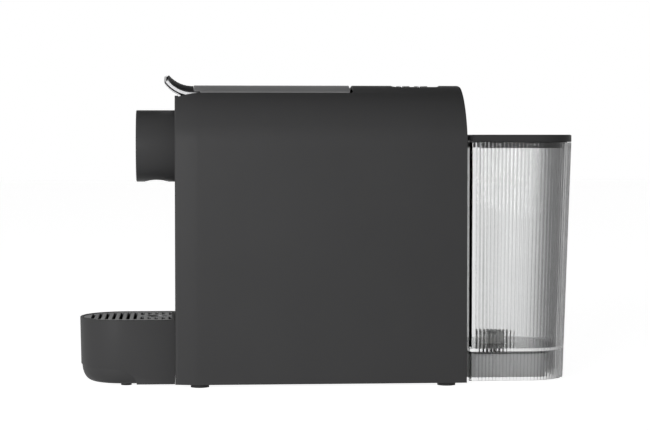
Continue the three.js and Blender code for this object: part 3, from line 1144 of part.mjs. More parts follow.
function buildBezel() {
  const plate = prismZ(roundedRectangle(BEZEL_FRONT, BEZEL_REAR, -BEZEL_HALF_WIDTH, BEZEL_HALF_WIDTH, 4),
    FLANGE_TOP - 1, BEZEL_TOP, 3);
  const flangeHalf = BEZEL_HALF_WIDTH + BEZEL_FLANGE;
  const flange = prismZ(roundedRectangle(BEZEL_FRONT - BEZEL_FLANGE, BEZEL_REAR + BEZEL_FLANGE, -flangeHalf,
    flangeHalf, 5), FLANGE_TOP - FLANGE_THICKNESS, FLANGE_TOP, 3);
  const legs = [];
  for (const x of [BEZEL_FRONT + 1, BEZEL_REAR - 1]) {
    for (const y of [-BEZEL_HALF_WIDTH + 1, BEZEL_HALF_WIDTH - 1]) {
      legs.push(cylinderZ(1.8, x, y, BOARD_TOP + SEAT_GAP, FLANGE_TOP - 1, 8));
    }
  }
  const holes = BUTTON_X.map((x) => cylinderZ(BUTTON_RADIUS + SEAT_GAP, x, 0, 0, FAR * 2, 20));
  return cut(join(plate, flange, ...legs), ...holes);
}
piece("chassis", "button_bezel", buildBezel(), GLOSS_BLACK);

function buildBoard() {
  const outline = roundedRectangle(BEZEL_FRONT - 3, BEZEL_REAR + 3, -BOARD_HALF_WIDTH, BOARD_HALF_WIDTH, 2);
  return prismZ(outline, BOARD_TOP - BOARD_THICKNESS, BOARD_TOP, 2);
}
piece("chassis", "control_board", buildBoard(), BOARD_GREEN);

BUTTON_X.forEach((x, i) => {
  const end = ["front", "rear"][i];
  const switchTop = BOARD_TOP + SEAT_GAP + SWITCH_HEIGHT;
  const housing = box(x - 3, x + 3, -3, 3, BOARD_TOP + SEAT_GAP, switchTop);
  const well = cylinderZ(STEM_RADIUS + SEAT_GAP, x, 0, switchTop - BUTTON_TRAVEL - 0.8, FAR * 2, 12);
  piece("chassis", `switch_${end}`, cut(housing, well), GLOSS_BLACK);
  const cap = cylinderZ(BUTTON_RADIUS, x, 0, BEZEL_TOP - 3, RIDGE - BUTTON_DROP, 24);
  const stem = cylinderZ(STEM_RADIUS, x, 0, switchTop + SEAT_GAP, BEZEL_TOP - 2, 12);
  piece(`${end}_button`, `button_${end}`, join(cap, stem), SATIN_GREY);
});

// The origin is the middle of the whole machine's footprint.
group.position.x = -(TRAY_FRONT + TANK_REAR) / 2;

export default group;
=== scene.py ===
# The looks of a slim pod coffee machine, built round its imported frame. Metres, in the frame's own axes:
# +X is the rear, the camera stands at -Y, +Z is up.
import json
import math

import bpy
import bmesh
from mathutils import Matrix, Vector


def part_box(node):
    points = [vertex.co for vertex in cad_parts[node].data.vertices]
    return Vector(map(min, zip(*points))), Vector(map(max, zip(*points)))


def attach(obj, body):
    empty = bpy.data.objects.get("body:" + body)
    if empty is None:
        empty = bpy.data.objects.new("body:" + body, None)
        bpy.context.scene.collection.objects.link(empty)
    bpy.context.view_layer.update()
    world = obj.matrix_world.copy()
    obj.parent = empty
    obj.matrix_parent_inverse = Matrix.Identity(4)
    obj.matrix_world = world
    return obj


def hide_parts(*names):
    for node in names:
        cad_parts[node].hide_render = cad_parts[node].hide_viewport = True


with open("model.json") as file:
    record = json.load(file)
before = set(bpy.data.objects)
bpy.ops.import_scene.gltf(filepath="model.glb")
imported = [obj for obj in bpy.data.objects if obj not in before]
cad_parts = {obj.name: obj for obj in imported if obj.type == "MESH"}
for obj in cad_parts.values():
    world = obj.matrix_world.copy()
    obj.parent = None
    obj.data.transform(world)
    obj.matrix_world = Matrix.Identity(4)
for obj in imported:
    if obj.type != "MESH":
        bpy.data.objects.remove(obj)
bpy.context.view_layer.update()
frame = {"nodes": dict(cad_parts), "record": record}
MM = 0.001
BEYOND = 0.4  # past the whole machine, for cutters


def joint_place(name):
    """Where a joint's axis runs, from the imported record."""
    joints = {joint["name"]: joint for joint in frame["record"]["behaviour"]["joints"]}
    return joints[name]["pos_m"]


# ---- Geometry helpers --------------------------------------------------------------------------


def make_object(name, vertices, faces):
    mesh = bpy.data.meshes.new(name)
    mesh.from_pydata(vertices, [], faces)
    mesh.validate()
    obj = bpy.data.objects.new(name, mesh)
    bpy.context.scene.collection.objects.link(obj)
    return obj


def face_outwards(obj):
    work = bmesh.new()
    work.from_mesh(obj.data)
    bmesh.ops.recalc_face_normals(work, faces=work.faces)
    work.to_mesh(obj.data)
    work.free()


def loft(name, rings, closed=False):
    """A solid through rings with equally many points: capped at both ends, or closed on itself."""
    count = len(rings[0])
    vertices = [point for ring in rings for point in ring]
    faces = []
    last = len(rings) if closed else len(rings) - 1
    for i in range(last):
        a, b = i * count, (i + 1) % len(rings) * count
        for k in range(count):
            n = (k + 1) % count
            faces.append((a + k, a + n, b + n, b + k))
    if not closed:
        faces.append(tuple(range(count))[::-1])
        end = (len(rings) - 1) * count
        faces.append(tuple(range(end, end + count)))
    obj = make_object(name, vertices, faces)
    face_outwards(obj)
    return obj


def prism(name, outline, axis, low, high):
    """An outline of (u, v) points pushed along an axis: X takes (y, z), Y takes (x, z), Z takes (x, y)."""
    places = {
        "X": lambda u, v, w: (w, u, v),
        "Y": lambda u, v, w: (u, w, v),
        "Z": lambda u, v, w: (u, v, w),
    }
    place = places[axis]
    return loft(name, [[place(u, v, w) for u, v in outline] for w in (low, high)])


def apply_modifiers(obj):
    graph = bpy.context.evaluated_depsgraph_get()
    mesh = bpy.data.meshes.new_from_object(obj.evaluated_get(graph))
    obj.modifiers.clear()
    old = obj.data
    obj.data = mesh
    bpy.data.meshes.remove(old)


def combine(obj, other, operation):
    """Joins, cuts or keeps what is common with another solid, which is used up."""
    modifier = obj.modifiers.new("boolean", "BOOLEAN")
    modifier.operation = operation
    modifier.solver = "EXACT"
    modifier.object = other
    bpy.context.view_layer.update()
    apply_modifiers(obj)
    bpy.data.objects.remove(other, do_unlink=True)
    return obj


def cut(obj, *cutters):
    for cutter in cutters:
        combine(obj, cutter, "DIFFERENCE")
    return obj


def join(obj, *others):
    for other in others:
        combine(obj, other, "UNION")
    return obj


def arc(cu, cv, ru, rv, start, end, steps):
    """Points of an elliptical arc, angles in degrees from +u towards +v."""
    angles = [math.radians(start + (end - start) * i / steps) for i in range(steps + 1)]
    return [(cu + ru * math.cos(a), cv + rv * math.sin(a)) for a in angles]


def rounded_rectangle(u0, u1, v0, v1, radius, steps=8):
    r = radius
    return (arc(u1 - r, v0 + r, r, r, -90, 0, steps) + arc(u1 - r, v1 - r, r, r, 0, 90, steps)
            + arc(u0 + r, v1 - r, r, r, 90, 180, steps) + arc(u0 + r, v0 + r, r, r, 180, 270, steps))


def circle(cu, cv, radius, steps=48):
    return arc(cu, cv, radius, radius, 0, 360 - 360 / steps, steps - 1)


def box_solid(low, high, name="cutter"):
    outline = [(low[0], low[1]), (high[0], low[1]), (high[0], high[1]), (low[0], high[1])]
    return prism(name, outline, "Z", low[2], high[2])


def lathe(name, profile, axis_point, axis="Z", steps=64):
    """A (radius, height) profile that starts and ends on the axis, turned round it."""
    rings = []
    for i in range(steps):
        a = 2 * math.pi * i / steps
        ring = []
        for radius, height in profile:
            c, s = radius * math.cos(a), radius * math.sin(a)
            local = {"X": (height, c, s), "Y": (c, height, s), "Z": (c, s, height)}[axis]
            ring.append(tuple(p + q for p, q in zip(axis_point, local)))
        rings.append(ring)
    count = len(profile)
    vertices = [point for ring in rings for point in ring]
    faces = []
    for i in range(steps):
        a, b = i * count, (i + 1) % steps * count
        for k in range(count - 1):
            faces.append((a + k, a + k + 1, b + k + 1, b + k))
    obj = make_object(name, vertices, faces)
    work = bmesh.new()
    work.from_mesh(obj.data)
    bmesh.ops.remove_doubles(work, verts=work.verts, dist=1e-6)
    bmesh.ops.recalc_face_normals(work, faces=work.faces)
    work.to_mesh(obj.data)
    work.free()
    return obj


def smooth(obj, angle=32):
    obj.data.shade_smooth()
    obj.data.set_sharp_from_angle(angle=math.radians(angle))


def soften(obj, width, angle=32, segments=2):
    """Rounds the hard edges by a small width, so that they catch the light."""
    modifier = obj.modifiers.new("edge", "BEVEL")
    modifier.width = width
    modifier.segments = segments
    modifier.limit_method = "ANGLE"
    modifier.angle_limit = math.radians(angle)
    modifier.use_clamp_overlap = True
    modifier.harden_normals = False
    apply_modifiers(obj)


def finish_piece(obj, nodes, body, material, edge=0.0, angle=32):
    if edge:
        soften(obj, edge, angle)
    smooth(obj, angle)
    obj.data.materials.clear()
    obj.data.materials.append(material)
    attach(obj, body)
    if nodes:
        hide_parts(*nodes)


# ---- Materials ---------------------------------------------------------------------------------

BLOTCH_SCALE = 18  # soft changes of tone, per metre
GRAIN_DEPTH = 0.05 * MM
BRUSH_DEPTH = 0.04 * MM
BRUSH_ACROSS = 1500.0  # brush lines per metre
BRUSH_ALONG = 12.0
# Painted shade on clear walls: how near its edge on view a wall gets it, and over what length along X it
# fades in.
EDGE_SHADE_BLEND = 0.875  # how near its edge on view a clear wall darkens
EDGE_SHADE_FADE = 3 * MM


def set_inputs(shader, values):
    for key, value in values.items():
        shader.inputs[key].default_value = value


def plastic(name, color, roughness, grain=0.0, grain_size=0.4 * MM, variation=0.12, rough_spread=0.06,
            **more):
    """Moulded plastic, metal or rubber: a colour that wanders a little, with fine grain in its bump."""
    material = bpy.data.materials.new(name)
    material.use_nodes = True
    nodes, links = material.node_tree.nodes, material.node_tree.links
    shader = nodes["Principled BSDF"]
    set_inputs(shader, more)
    place = nodes.new("ShaderNodeTexCoord")
    blotch = nodes.new("ShaderNodeTexNoise")
    blotch.inputs["Scale"].default_value = BLOTCH_SCALE
    blotch.inputs["Detail"].default_value = 3
    links.new(place.outputs["Object"], blotch.inputs["Vector"])
    ramp = nodes.new("ShaderNodeValToRGB")
    low = [c * (1 - variation / 2) for c in color]
    high = [c * (1 + variation / 2) for c in color]
    ramp.color_ramp.elements[0].position = 0.3
    ramp.color_ramp.elements[0].color = (*low, 1)
    ramp.color_ramp.elements[1].position = 0.7
    ramp.color_ramp.elements[1].color = (*high, 1)
    links.new(blotch.outputs["Fac"], ramp.inputs["Fac"])
    links.new(ramp.outputs["Color"], shader.inputs["Base Color"])
    spread = nodes.new("ShaderNodeMapRange")
    spread.inputs["To Min"].default_value = roughness - rough_spread / 2
    spread.inputs["To Max"].default_value = roughness + rough_spread / 2
    links.new(blotch.outputs["Fac"], spread.inputs["Value"])
    links.new(spread.outputs["Result"], shader.inputs["Roughness"])
    if grain:
        fine = nodes.new("ShaderNodeTexNoise")
        fine.inputs["Scale"].default_value = 1 / grain_size
        fine.inputs["Detail"].default_value = 2
        links.new(place.outputs["Object"], fine.inputs["Vector"])
        bump = nodes.new("ShaderNodeBump")
        bump.inputs["Strength"].default_value = grain
        bump.inputs["Distance"].default_value = GRAIN_DEPTH
        links.new(fine.outputs["Fac"], bump.inputs["Height"])
        links.new(bump.outputs["Normal"], shader.inputs["Normal"])
    return material


def brushed(name, color, roughness, along, metallic=1.0, **more):
    """Metal with fine brush lines along one axis."""
    material = plastic(name, color, roughness, variation=0.08, **more)
    nodes, links = material.node_tree.nodes, material.node_tree.links
    shader = nodes["Principled BSDF"]
    shader.inputs["Metallic"].default_value = metallic
    place = nodes.new("ShaderNodeTexCoord")
    stretch = nodes.new("ShaderNodeMapping")
    scale = [BRUSH_ACROSS] * 3
    scale["XYZ".index(along)] = BRUSH_ALONG
    stretch.inputs["Scale"].default_value = scale
    lines = nodes.new("ShaderNodeTexNoise")
    lines.inputs["Scale"].default_value = 1
    lines.inputs["Detail"].default_value = 2
    bump = nodes.new("ShaderNodeBump")
    bump.inputs["Strength"].default_value = 0.12
    bump.inputs["Distance"].default_value = BRUSH_DEPTH
    links.new(place.outputs["Object"], stretch.inputs["Vector"])
    links.new(stretch.outputs["Vector"], lines.inputs["Vector"])
    links.new(lines.outputs["Fac"], bump.inputs["Height"])
    links.new(bump.outputs["Normal"], shader.inputs["Normal"])
    return material


def clear_plastic(name, facing, edge_on_shade, roughness, shade_from_x):
    """Clear plastic with a faint tint, and a painted shade that darkens its colour where a wall is seen
    edge on, past a place along X.
    """
    material = plastic(name, facing, roughness, variation=0.02, rough_spread=0.02)
    nodes, links = material.node_tree.nodes, material.node_tree.links
    shader = nodes["Principled BSDF"]
    set_inputs(shader, {"Transmission Weight": 1.0, "IOR": 1.3, "Specular IOR Level": 0.3})
    tint = shader.inputs["Base Color"].links[0].from_socket
    edge = nodes.new("ShaderNodeLayerWeight")
    edge.inputs["Blend"].default_value = EDGE_SHADE_BLEND
    place = nodes.new("ShaderNodeTexCoord")
    split = nodes.new("ShaderNodeSeparateXYZ")
    links.new(place.outputs["Object"], split.inputs["Vector"])
    behind = nodes.new("ShaderNodeMapRange")
    behind.inputs["From Min"].default_value = shade_from_x
    behind.inputs["From Max"].default_value = shade_from_x + EDGE_SHADE_FADE
    links.new(split.outputs["X"], behind.inputs["Value"])
    share = nodes.new("ShaderNodeMath")
    share.operation = "MULTIPLY"
    links.new(edge.outputs["Facing"], share.inputs[0])
    links.new(behind.outputs["Result"], share.inputs[1])
    # Painted shade: a dark colour is mixed in where a wall is seen edge on, past the plain front.
    mix = nodes.new("ShaderNodeMix")
    mix.data_type = "RGBA"
    links.new(share.outputs["Value"], mix.inputs["Factor"])
    links.new(tint, mix.inputs[6])
    mix.inputs[7].default_value = (*edge_on_shade, 1)
    links.new(mix.outputs[2], shader.inputs["Base Color"])
    return material


SOFT_SHEEN = {"Specular IOR Level": 0.06}
LID_SHEEN = {"Specular IOR Level": 0.05}
FROSTED = {"Transmission Weight": 0.75}
body_black = plastic("body_black", (0.066, 0.066, 0.067), 0.5, grain=0.35, grain_size=0.3 * MM,
                     variation=0.05, **SOFT_SHEEN)
gloss_black = plastic("gloss_black", (0.022, 0.022, 0.023), 0.24, grain=0.05, variation=0.08)
spout_black = plastic("spout_black", (0.06, 0.06, 0.061), 0.4, grain=0.15, variation=0.05, **SOFT_SHEEN)
grip_black = plastic("grip_black", (0.03, 0.03, 0.031), 0.5, grain=0.4, variation=0.1, **SOFT_SHEEN)
lever_grey = brushed("lever_grey", (0.36, 0.36, 0.365), 0.45, "X", 0.35)
grid_grey = plastic("grid_grey", (0.12, 0.12, 0.123), 0.45, grain=0.3, variation=0.08, Metallic=0.4)
chrome = plastic("chrome", (0.6, 0.6, 0.61), 0.2, variation=0.03, Metallic=1.0)
# The tank's walls carry painted shade where they are seen edge on, behind their plain front.
tank_clear = clear_plastic("tank_clear", (0.9, 0.905, 0.905), (0.15, 0.15, 0.152), 0.03,
                           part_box("tank_lid")[0].x + 3 * MM)
dock_grey = plastic("dock_grey", (0.62, 0.62, 0.62), 0.5, grain=0.2)
inner_plastic = plastic("inner_plastic", (0.09, 0.09, 0.095), 0.55, grain=0.3)
white_plastic = plastic("white_plastic", (0.62, 0.61, 0.58), 0.45, grain=0.15)
rubber = plastic("rubber", (0.02, 0.02, 0.02), 0.8, grain=0.5)
silicone = plastic("silicone", (0.5, 0.49, 0.46), 0.55, grain=0.1)
aluminium = plastic("aluminium", (0.56, 0.57, 0.58), 0.42, grain=0.5, grain_size=0.8 * MM, Metallic=1.0)
steel = brushed("steel", (0.5, 0.51, 0.52), 0.3, "Y")
brass = plastic("brass", (0.6, 0.42, 0.18), 0.3, grain=0.1, Metallic=1.0)
lid_black = plastic("lid_black", (0.05, 0.05, 0.051), 0.45, grain=0.1, variation=0.06, **LID_SHEEN)
strainer_white = plastic("strainer_white", (0.92, 0.92, 0.91), 0.4, grain=0.1, **FROSTED)
button_grey = plastic("button_grey", (0.42, 0.42, 0.43), 0.3, variation=0.05, Metallic=0.7)
board_green = plastic("board_green", (0.02, 0.13, 0.055), 0.4, grain=0.2, variation=0.3)
SLOT_MATERIALS = {
    "body_black": body_black, "gloss_black": gloss_black, "lever_grey": lever_grey,
    "grid_grey": grid_grey, "chrome": chrome, "clear_tank": tank_clear,
    "inner_plastic": inner_plastic, "white_plastic": white_plastic, "rubber": rubber,
    "silicone": silicone, "aluminium": aluminium, "steel": steel, "brass": brass,
    "board": board_green, "dock_grey": dock_grey,
}

# Every CAD node that stays in view gets its slot's material and smooth curved faces.
for entry in frame["record"]["subparts"]:
    node = frame["nodes"][entry["node"]]
    node.data.materials.clear()
    node.data.materials.append(SLOT_MATERIALS[entry["material_slot"]])
    smooth(node, 35)

# ---- Casing ------------------------------------------------------------------------------------

casing_low, casing_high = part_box("casing")
HALF_WIDTH = casing_high.y
RIDGE = casing_high.z
BOTTOM = casing_low.z
FRONT, REAR = casing_low.x, casing_high.x
WALL = 2.2 * MM
ARCH = 50 * MM
ARCH_ANGLE = math.radians(62)
SHOULDER = (HALF_WIDTH - ARCH * math.sin(ARCH_ANGLE)) / (1 - math.sin(ARCH_ANGLE))
TAPER_LENGTH = 15.5 * MM
TAPER_DEPTH = 3 * MM
LIP_ROUND = 0.9 * MM
REAR_ROUND = (1.6 * MM, 2.2 * MM)  # of the rear top edge, along X and Z
SLOT_DEPTH = 13 * MM
SLOT_GAP = 0.7 * MM
SLOT_END_GAP = 1.6 * MM
SLOT_CHAMFER = 1.3 * MM
BEZEL_FLANGE = 2 * MM
BEZEL_CORNER = 4 * MM
BEZEL_GAP = 0.3 * MM
GLAND_HOLE_RADIUS = 5.8 * MM


def section(inset, bottom, steps=20):
    """The body's section in Y and Z drawn in by an inset: flat sides under an arched top."""
    side = HALF_WIDTH - inset
    reach = ARCH - SHOULDER
    y, z = reach * math.sin(ARCH_ANGLE), RIDGE - ARCH + reach * math.cos(ARCH_ANGLE)
    upper = 90 - math.degrees(ARCH_ANGLE)
    shoulder = arc(y, z, SHOULDER - inset, SHOULDER - inset, 0, upper, steps // 2)
    crown = arc(0, RIDGE - ARCH, ARCH - inset, ARCH - inset, upper, 180 - upper, steps * 2)
    other = arc(-y, z, SHOULDER - inset, SHOULDER - inset, 180 - upper, 180, steps // 2)
    return [(-side, bottom), (side, bottom)] + shoulder + crown[1:-1] + other


def sag(y):
    return ARCH - math.sqrt(ARCH ** 2 - y ** 2)


def taper(x):
    """How far the section is drawn in at x: a soft start, then a straight slope, then a small round lip."""
    ahead = max(0.0, FRONT + TAPER_LENGTH - x) / TAPER_LENGTH
    slope = TAPER_DEPTH * ahead ** 1.5
    into_lip = max(0.0, FRONT + LIP_ROUND - x)
    return slope + LIP_ROUND - math.sqrt(max(0.0, LIP_ROUND ** 2 - into_lip ** 2))


def body_solid(name, inset, bottom, rear, start):
    lip = [start + LIP_ROUND * t for t in (0, 0.08, 0.3, 0.6, 1)]
    slope = [FRONT + LIP_ROUND + (TAPER_LENGTH - LIP_ROUND) * i / 12 for i in range(1, 13)]
    rings = []
    for x in lip + slope + [rear]:
        rings.append([(x, y, z) for y, z in section(inset + taper(max(x, FRONT)), bottom)])
    return loft(name, rings)


def side_outline(steps=24):
    """The side view's outline: straight, with a rounded rear top edge."""
    corner = arc(REAR - REAR_ROUND[0], RIDGE - REAR_ROUND[1], *REAR_ROUND, 0, 90, steps)
    return [(-BEYOND, -BEYOND), (REAR, -BEYOND)] + corner + [(-BEYOND, RIDGE)]


lever_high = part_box("lever_arm")[1]
plate_low, plate_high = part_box("lever_plate")
SLOT_HALF = plate_high.y + SLOT_GAP
SLOT_REAR = plate_high.x + SLOT_END_GAP
bezel_low, bezel_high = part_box("button_bezel")


def bezel_outline(grow):
    return rounded_rectangle(bezel_low.x + BEZEL_FLANGE - grow, bezel_high.x - BEZEL_FLANGE + grow,
                             bezel_low.y + BEZEL_FLANGE - grow, bezel_high.y - BEZEL_FLANGE + grow,
                             BEZEL_CORNER + grow)


def build_casing():
    shell = body_solid("casing_shell", 0, BOTTOM, BEYOND, FRONT)
    combine(shell, prism("profile", side_outline(), "Y", -BEYOND, BEYOND), "INTERSECT")
    cut(shell, body_solid("hollow", WALL, -BEYOND, BEYOND, FRONT - 20 * MM))
    cut(shell, box_solid((-BEYOND, -SLOT_HALF, RIDGE - SLOT_DEPTH), (SLOT_REAR, SLOT_HALF, BEYOND)))
    # The slot's rear end leans back, to clear the turning plate.
    inside, over, under = SLOT_REAR - 1 * MM, RIDGE + 2 * MM, RIDGE - 6 * MM
    notch = [(inside, under), (SLOT_REAR, under), (SLOT_REAR + SLOT_CHAMFER, over), (inside, over)]
    cut(shell, prism("notch", notch, "Y", -SLOT_HALF, SLOT_HALF))
    cut(shell, prism("dish", bezel_outline(BEZEL_GAP), "Z", RIDGE - 8 * MM, RIDGE + 10 * MM))
    gland_low, gland_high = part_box("cord_gland")
    centre = (gland_low + gland_high) / 2
    cut(shell, prism("gland", circle(centre.x, centre.z, GLAND_HOLE_RADIUS, 32), "Y", 0, BEYOND))
    finish_piece(shell, ["casing"], "chassis", body_black, edge=0.35 * MM, angle=24)


build_casing()

# ---- Spout -------------------------------------------------------------------------------------

spout_low, spout_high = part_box("spout_housing")
SPOUT_AXIS = ((spout_low.y + spout_high.y) / 2, (spout_low.z + spout_high.z) / 2)
SPOUT_RADIUS = (spout_high.z - spout_low.z) / 2
SPOUT_WALL = 2 * MM
SPOUT_FACE = 2.4 * MM
SPOUT_EDGE = 0.6 * MM
FACE_RECESS = 0.3 * MM
SPOUT_GAP = 0.04 * MM
OUTLET_RADIUS = 8 * MM


def build_spout():
    length = casing_low.x - spout_low.x - SPOUT_GAP
    radius, bore = SPOUT_RADIUS, SPOUT_RADIUS - SPOUT_WALL
    edge = arc(SPOUT_EDGE, radius - SPOUT_EDGE, SPOUT_EDGE, SPOUT_EDGE, 180, 90, 6)
    profile = [(0, FACE_RECESS), (radius * 0.86, FACE_RECESS), (radius * 0.9, 0)]
    profile += [(r, x) for x, r in edge]
    profile += [(radius, length), (bore, length), (bore, SPOUT_FACE), (0, SPOUT_FACE)]
    start = (spout_low.x, *SPOUT_AXIS)
    shell = lathe("spout_shell", profile, start, "X", 96)
    nozzle_low, nozzle_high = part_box("spout_nozzle")
    outlet_x = nozzle_low.x + nozzle_high.y
    cut(shell, prism("outlet", circle(outlet_x, 0, OUTLET_RADIUS), "Z", 0, SPOUT_AXIS[1]))
    finish_piece(shell, ["spout_housing"], "chassis", spout_black, edge=0.2 * MM)


build_spout()

# ---- Drip tray and grid ------------------------------------------------------------------------

tray_low, tray_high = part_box("drip_tray")
grid_low, grid_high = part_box("drip_grid")
TRAY_GAP = 0.15 * MM
TRAY_REAR = casing_low.x - TRAY_GAP
TRAY_HALF = tray_high.y
TRAY_NOSE = 30 * MM
TRAY_DRAFT = 0.8 * MM
UNDERCUT_HEIGHT = 11 * MM
UNDERCUT_DEPTH = 8 * MM
UNDERCUT_REAR = tray_low.x + 38 * MM
UNDERCUT_LENGTH = 20 * MM
UNDERCUT_STEP = 1.3 * MM  # left at its upper edge
SEAT_WALL, SEAT_GAP = 2 * MM, 0.3 * MM
WELL_WALL, WELL_FLOOR = 4 * MM, 13 * MM
SUMP_WALL, SUMP_FLOOR = 11 * MM, 2 * MM
HOOK_PLACE, HOOK_HALF, HOOK_LOW, HOOK_HIGH = 20 * MM, 3 * MM, 34 * MM, 38 * MM


def tray_plan(inset, rear_inset=0.0, steps=40):
    half = TRAY_HALF - inset
    front = arc(tray_low.x + TRAY_NOSE, 0, TRAY_NOSE - inset, half, 90, 270, steps)
    return [(TRAY_REAR - rear_inset, -half), (TRAY_REAR - rear_inset, half)] + front


def tray_solid(name, levels, rear_inset=0.0):
    """A solid through the tray's plan at (height, inset) levels."""
    rings = [[(x, y, z) for x, y in tray_plan(inset, rear_inset)] for z, inset in levels]
    return loft(name, rings)


def build_tray():
    low, rim = tray_low.z, tray_high.z
    lip = [(rim - 0.5 * MM, 0), (rim - 0.15 * MM, 0.12 * MM), (rim, 0.5 * MM)]
    tray = tray_solid("drip_tray_bucket", [(low, TRAY_DRAFT), (low + 0.3 * MM, TRAY_DRAFT)] + lip)
    levels = [(low - 1 * MM, UNDERCUT_DEPTH)]
    for i in range(13):
        angle = math.radians(90 * i / 12)
        inset = UNDERCUT_DEPTH - (UNDERCUT_DEPTH - UNDERCUT_STEP) * math.sin(angle)
        levels.append((low + UNDERCUT_HEIGHT * (1 - math.cos(angle)), inset))
    levels.append((low + 30 * MM, UNDERCUT_STEP))
    edge = arc(UNDERCUT_REAR - UNDERCUT_LENGTH, low, UNDERCUT_LENGTH, UNDERCUT_HEIGHT, 0, 90, 24)
    ahead, below = tray_low.x - 10 * MM, low - 2 * MM
    outline = [(UNDERCUT_REAR, below)] + edge + [(ahead, low + UNDERCUT_HEIGHT), (ahead, below)]
    undercut = prism("undercut", outline, "Y", -BEYOND, BEYOND)
    cut(undercut, tray_solid("keep", levels, -50 * MM))
    cut(tray, undercut)
    pockets = (("recess", grid_low.z - SEAT_GAP, SEAT_WALL), ("well", low + WELL_FLOOR, WELL_WALL),
               ("sump", low + SUMP_FLOOR, SUMP_WALL))
    for name, bottom, wall in pockets:
        cut(tray, tray_solid(name, [(bottom, wall), (rim + 10 * MM, wall)], wall))
    finish_piece(tray, ["drip_tray"], "tray", body_black, edge=0.25 * MM, angle=30)
    for y in (-HOOK_PLACE, HOOK_PLACE):
        corners = (TRAY_REAR - 1 * MM, y - HOOK_HALF, HOOK_LOW), (tray_high.x, y + HOOK_HALF, HOOK_HIGH)
        hook = box_solid(*corners, "tray_hook")
        finish_piece(hook, [], "tray", body_black, edge=0.4 * MM)


build_tray()

GRID_SLOTS, GRID_PITCH, GRID_SLOT_WIDTH = 12, 4.66 * MM, 2.3 * MM
FIRST_GRID_SLOT = tray_low.x + 60 * MM
GRID_HOLE, GRID_HOLE_RADIUS, GRID_RING = tray_low.x + 51.4 * MM, 6.5 * MM, 12 * MM
GRID_INSET, GRID_EDGE = 2.3 * MM, 0.35 * MM


def build_grid():
    """A plate with transverse round-ended slots that stop at a plain ring round the middle hole."""
    low, high = grid_low.z - 10 * MM, grid_high.z + 10 * MM
    levels = [(grid_low.z, GRID_INSET), (grid_high.z - GRID_EDGE, GRID_INSET),
              (grid_high.z, GRID_INSET + GRID_EDGE)]
    plate = tray_solid("drip_grid_plate", levels, GRID_INSET)
    for i in range(GRID_SLOTS):
        x = FIRST_GRID_SLOT - GRID_PITCH * i
        ahead = min(1.0, (x - tray_low.x) / TRAY_NOSE)
        half = 0.7 * TRAY_HALF * math.sqrt(1 - (1 - ahead) ** 2)
        clear = math.sqrt(max(0.0, GRID_RING ** 2 - (x - GRID_HOLE) ** 2))
        spans = [(-half, half)] if clear < 2 * MM else [(-half, -clear), (clear, half)]
        for a, b in spans:
            half_slot = GRID_SLOT_WIDTH / 2
            outline = rounded_rectangle(x - half_slot, x + half_slot, a, b, 0.9 * half_slot, 4)
            cut(plate, prism("slot", outline, "Z", low, high))
    cut(plate, prism("hole", circle(GRID_HOLE, 0, GRID_HOLE_RADIUS), "Z", low, high))
    finish_piece(plate, ["drip_grid"], "grid", grid_grey, edge=0.2 * MM)


build_grid()

# ---- Lever -------------------------------------------------------------------------------------

CURL_START = plate_low.x - 1 * MM
CURL_RADIUS = 20 * MM
CURL_RUN = 15.9 * MM
CURL_REACH = math.degrees(math.asin(CURL_RUN / CURL_RADIUS))
ARM_TOP, ARM_THICKNESS, ARM_DEPTH = 1.8 * MM, 1.6 * MM, 3.4 * MM
BAND_WIDTH, BAND_LENGTH = 1.4 * MM, 4 * MM
PLATE_THICKNESS, PLATE_CORNER = 1.5 * MM, 3 * MM
KNUCKLE_RADIUS, KNUCKLE_WIDTH, PIVOT_BORE = 2.6 * MM, 3.4 * MM, 1.45 * MM
KNUCKLE_PLACE, GEAR_HALF, POST_HALF = 7.4 * MM, 7.1 * MM, 2 * MM
GRIP_TOP, GRIP_THICKNESS, GRIP_SIDE = 0.4 * MM, 1.1 * MM, 1.7 * MM
GROOVE_COUNT, GROOVE_RADIUS, GROOVE_HALF = 6, 0.55 * MM, 12 * MM
STRIP_EDGE = 0.8 * MM
LEVER_HALF = plate_high.y
GRIP_REAR = plate_low.x


def lever_strip(name, tops, depth, start, rear, half, columns=28, crown=0.35 * MM):
    """A strip along the ridge that curls up at the front, bent to the arch across its width.

    tops is how far its upper face lies under the ridge, depth is its thickness, and start is how far
    round the curl it begins, as a share of the whole curl."""
    path = []
    for i in range(25):
        share = start * (1 - i / 24)
        path.append(("curl", share))
    for i in range(1, 13):
        path.append(("flat", CURL_START + (rear - CURL_START) * i / 12))
    rings = []
    for kind, value in path:
        upper, lower = [], []
        for k in range(columns + 1):
            y = -half + 2 * half * k / columns
            edge = max(0.0, abs(y) - (half - STRIP_EDGE)) / STRIP_EDGE
            drop = crown * (1 - math.sqrt(max(0.0, 1 - edge ** 2)))
            for depth_here, row in ((tops + drop, upper), (tops + depth - drop, lower)):
                if kind == "flat":
                    row.append((value, y, RIDGE - sag(y) - depth_here))
                else:
                    a = math.radians(CURL_REACH * value)
                    radius = CURL_RADIUS + depth_here
                    row.append((CURL_START - radius * math.sin(a), y,
                                RIDGE + CURL_RADIUS - radius * math.cos(a) - sag(y)))
        rings.append(upper + lower[::-1])
    return loft(name, rings)


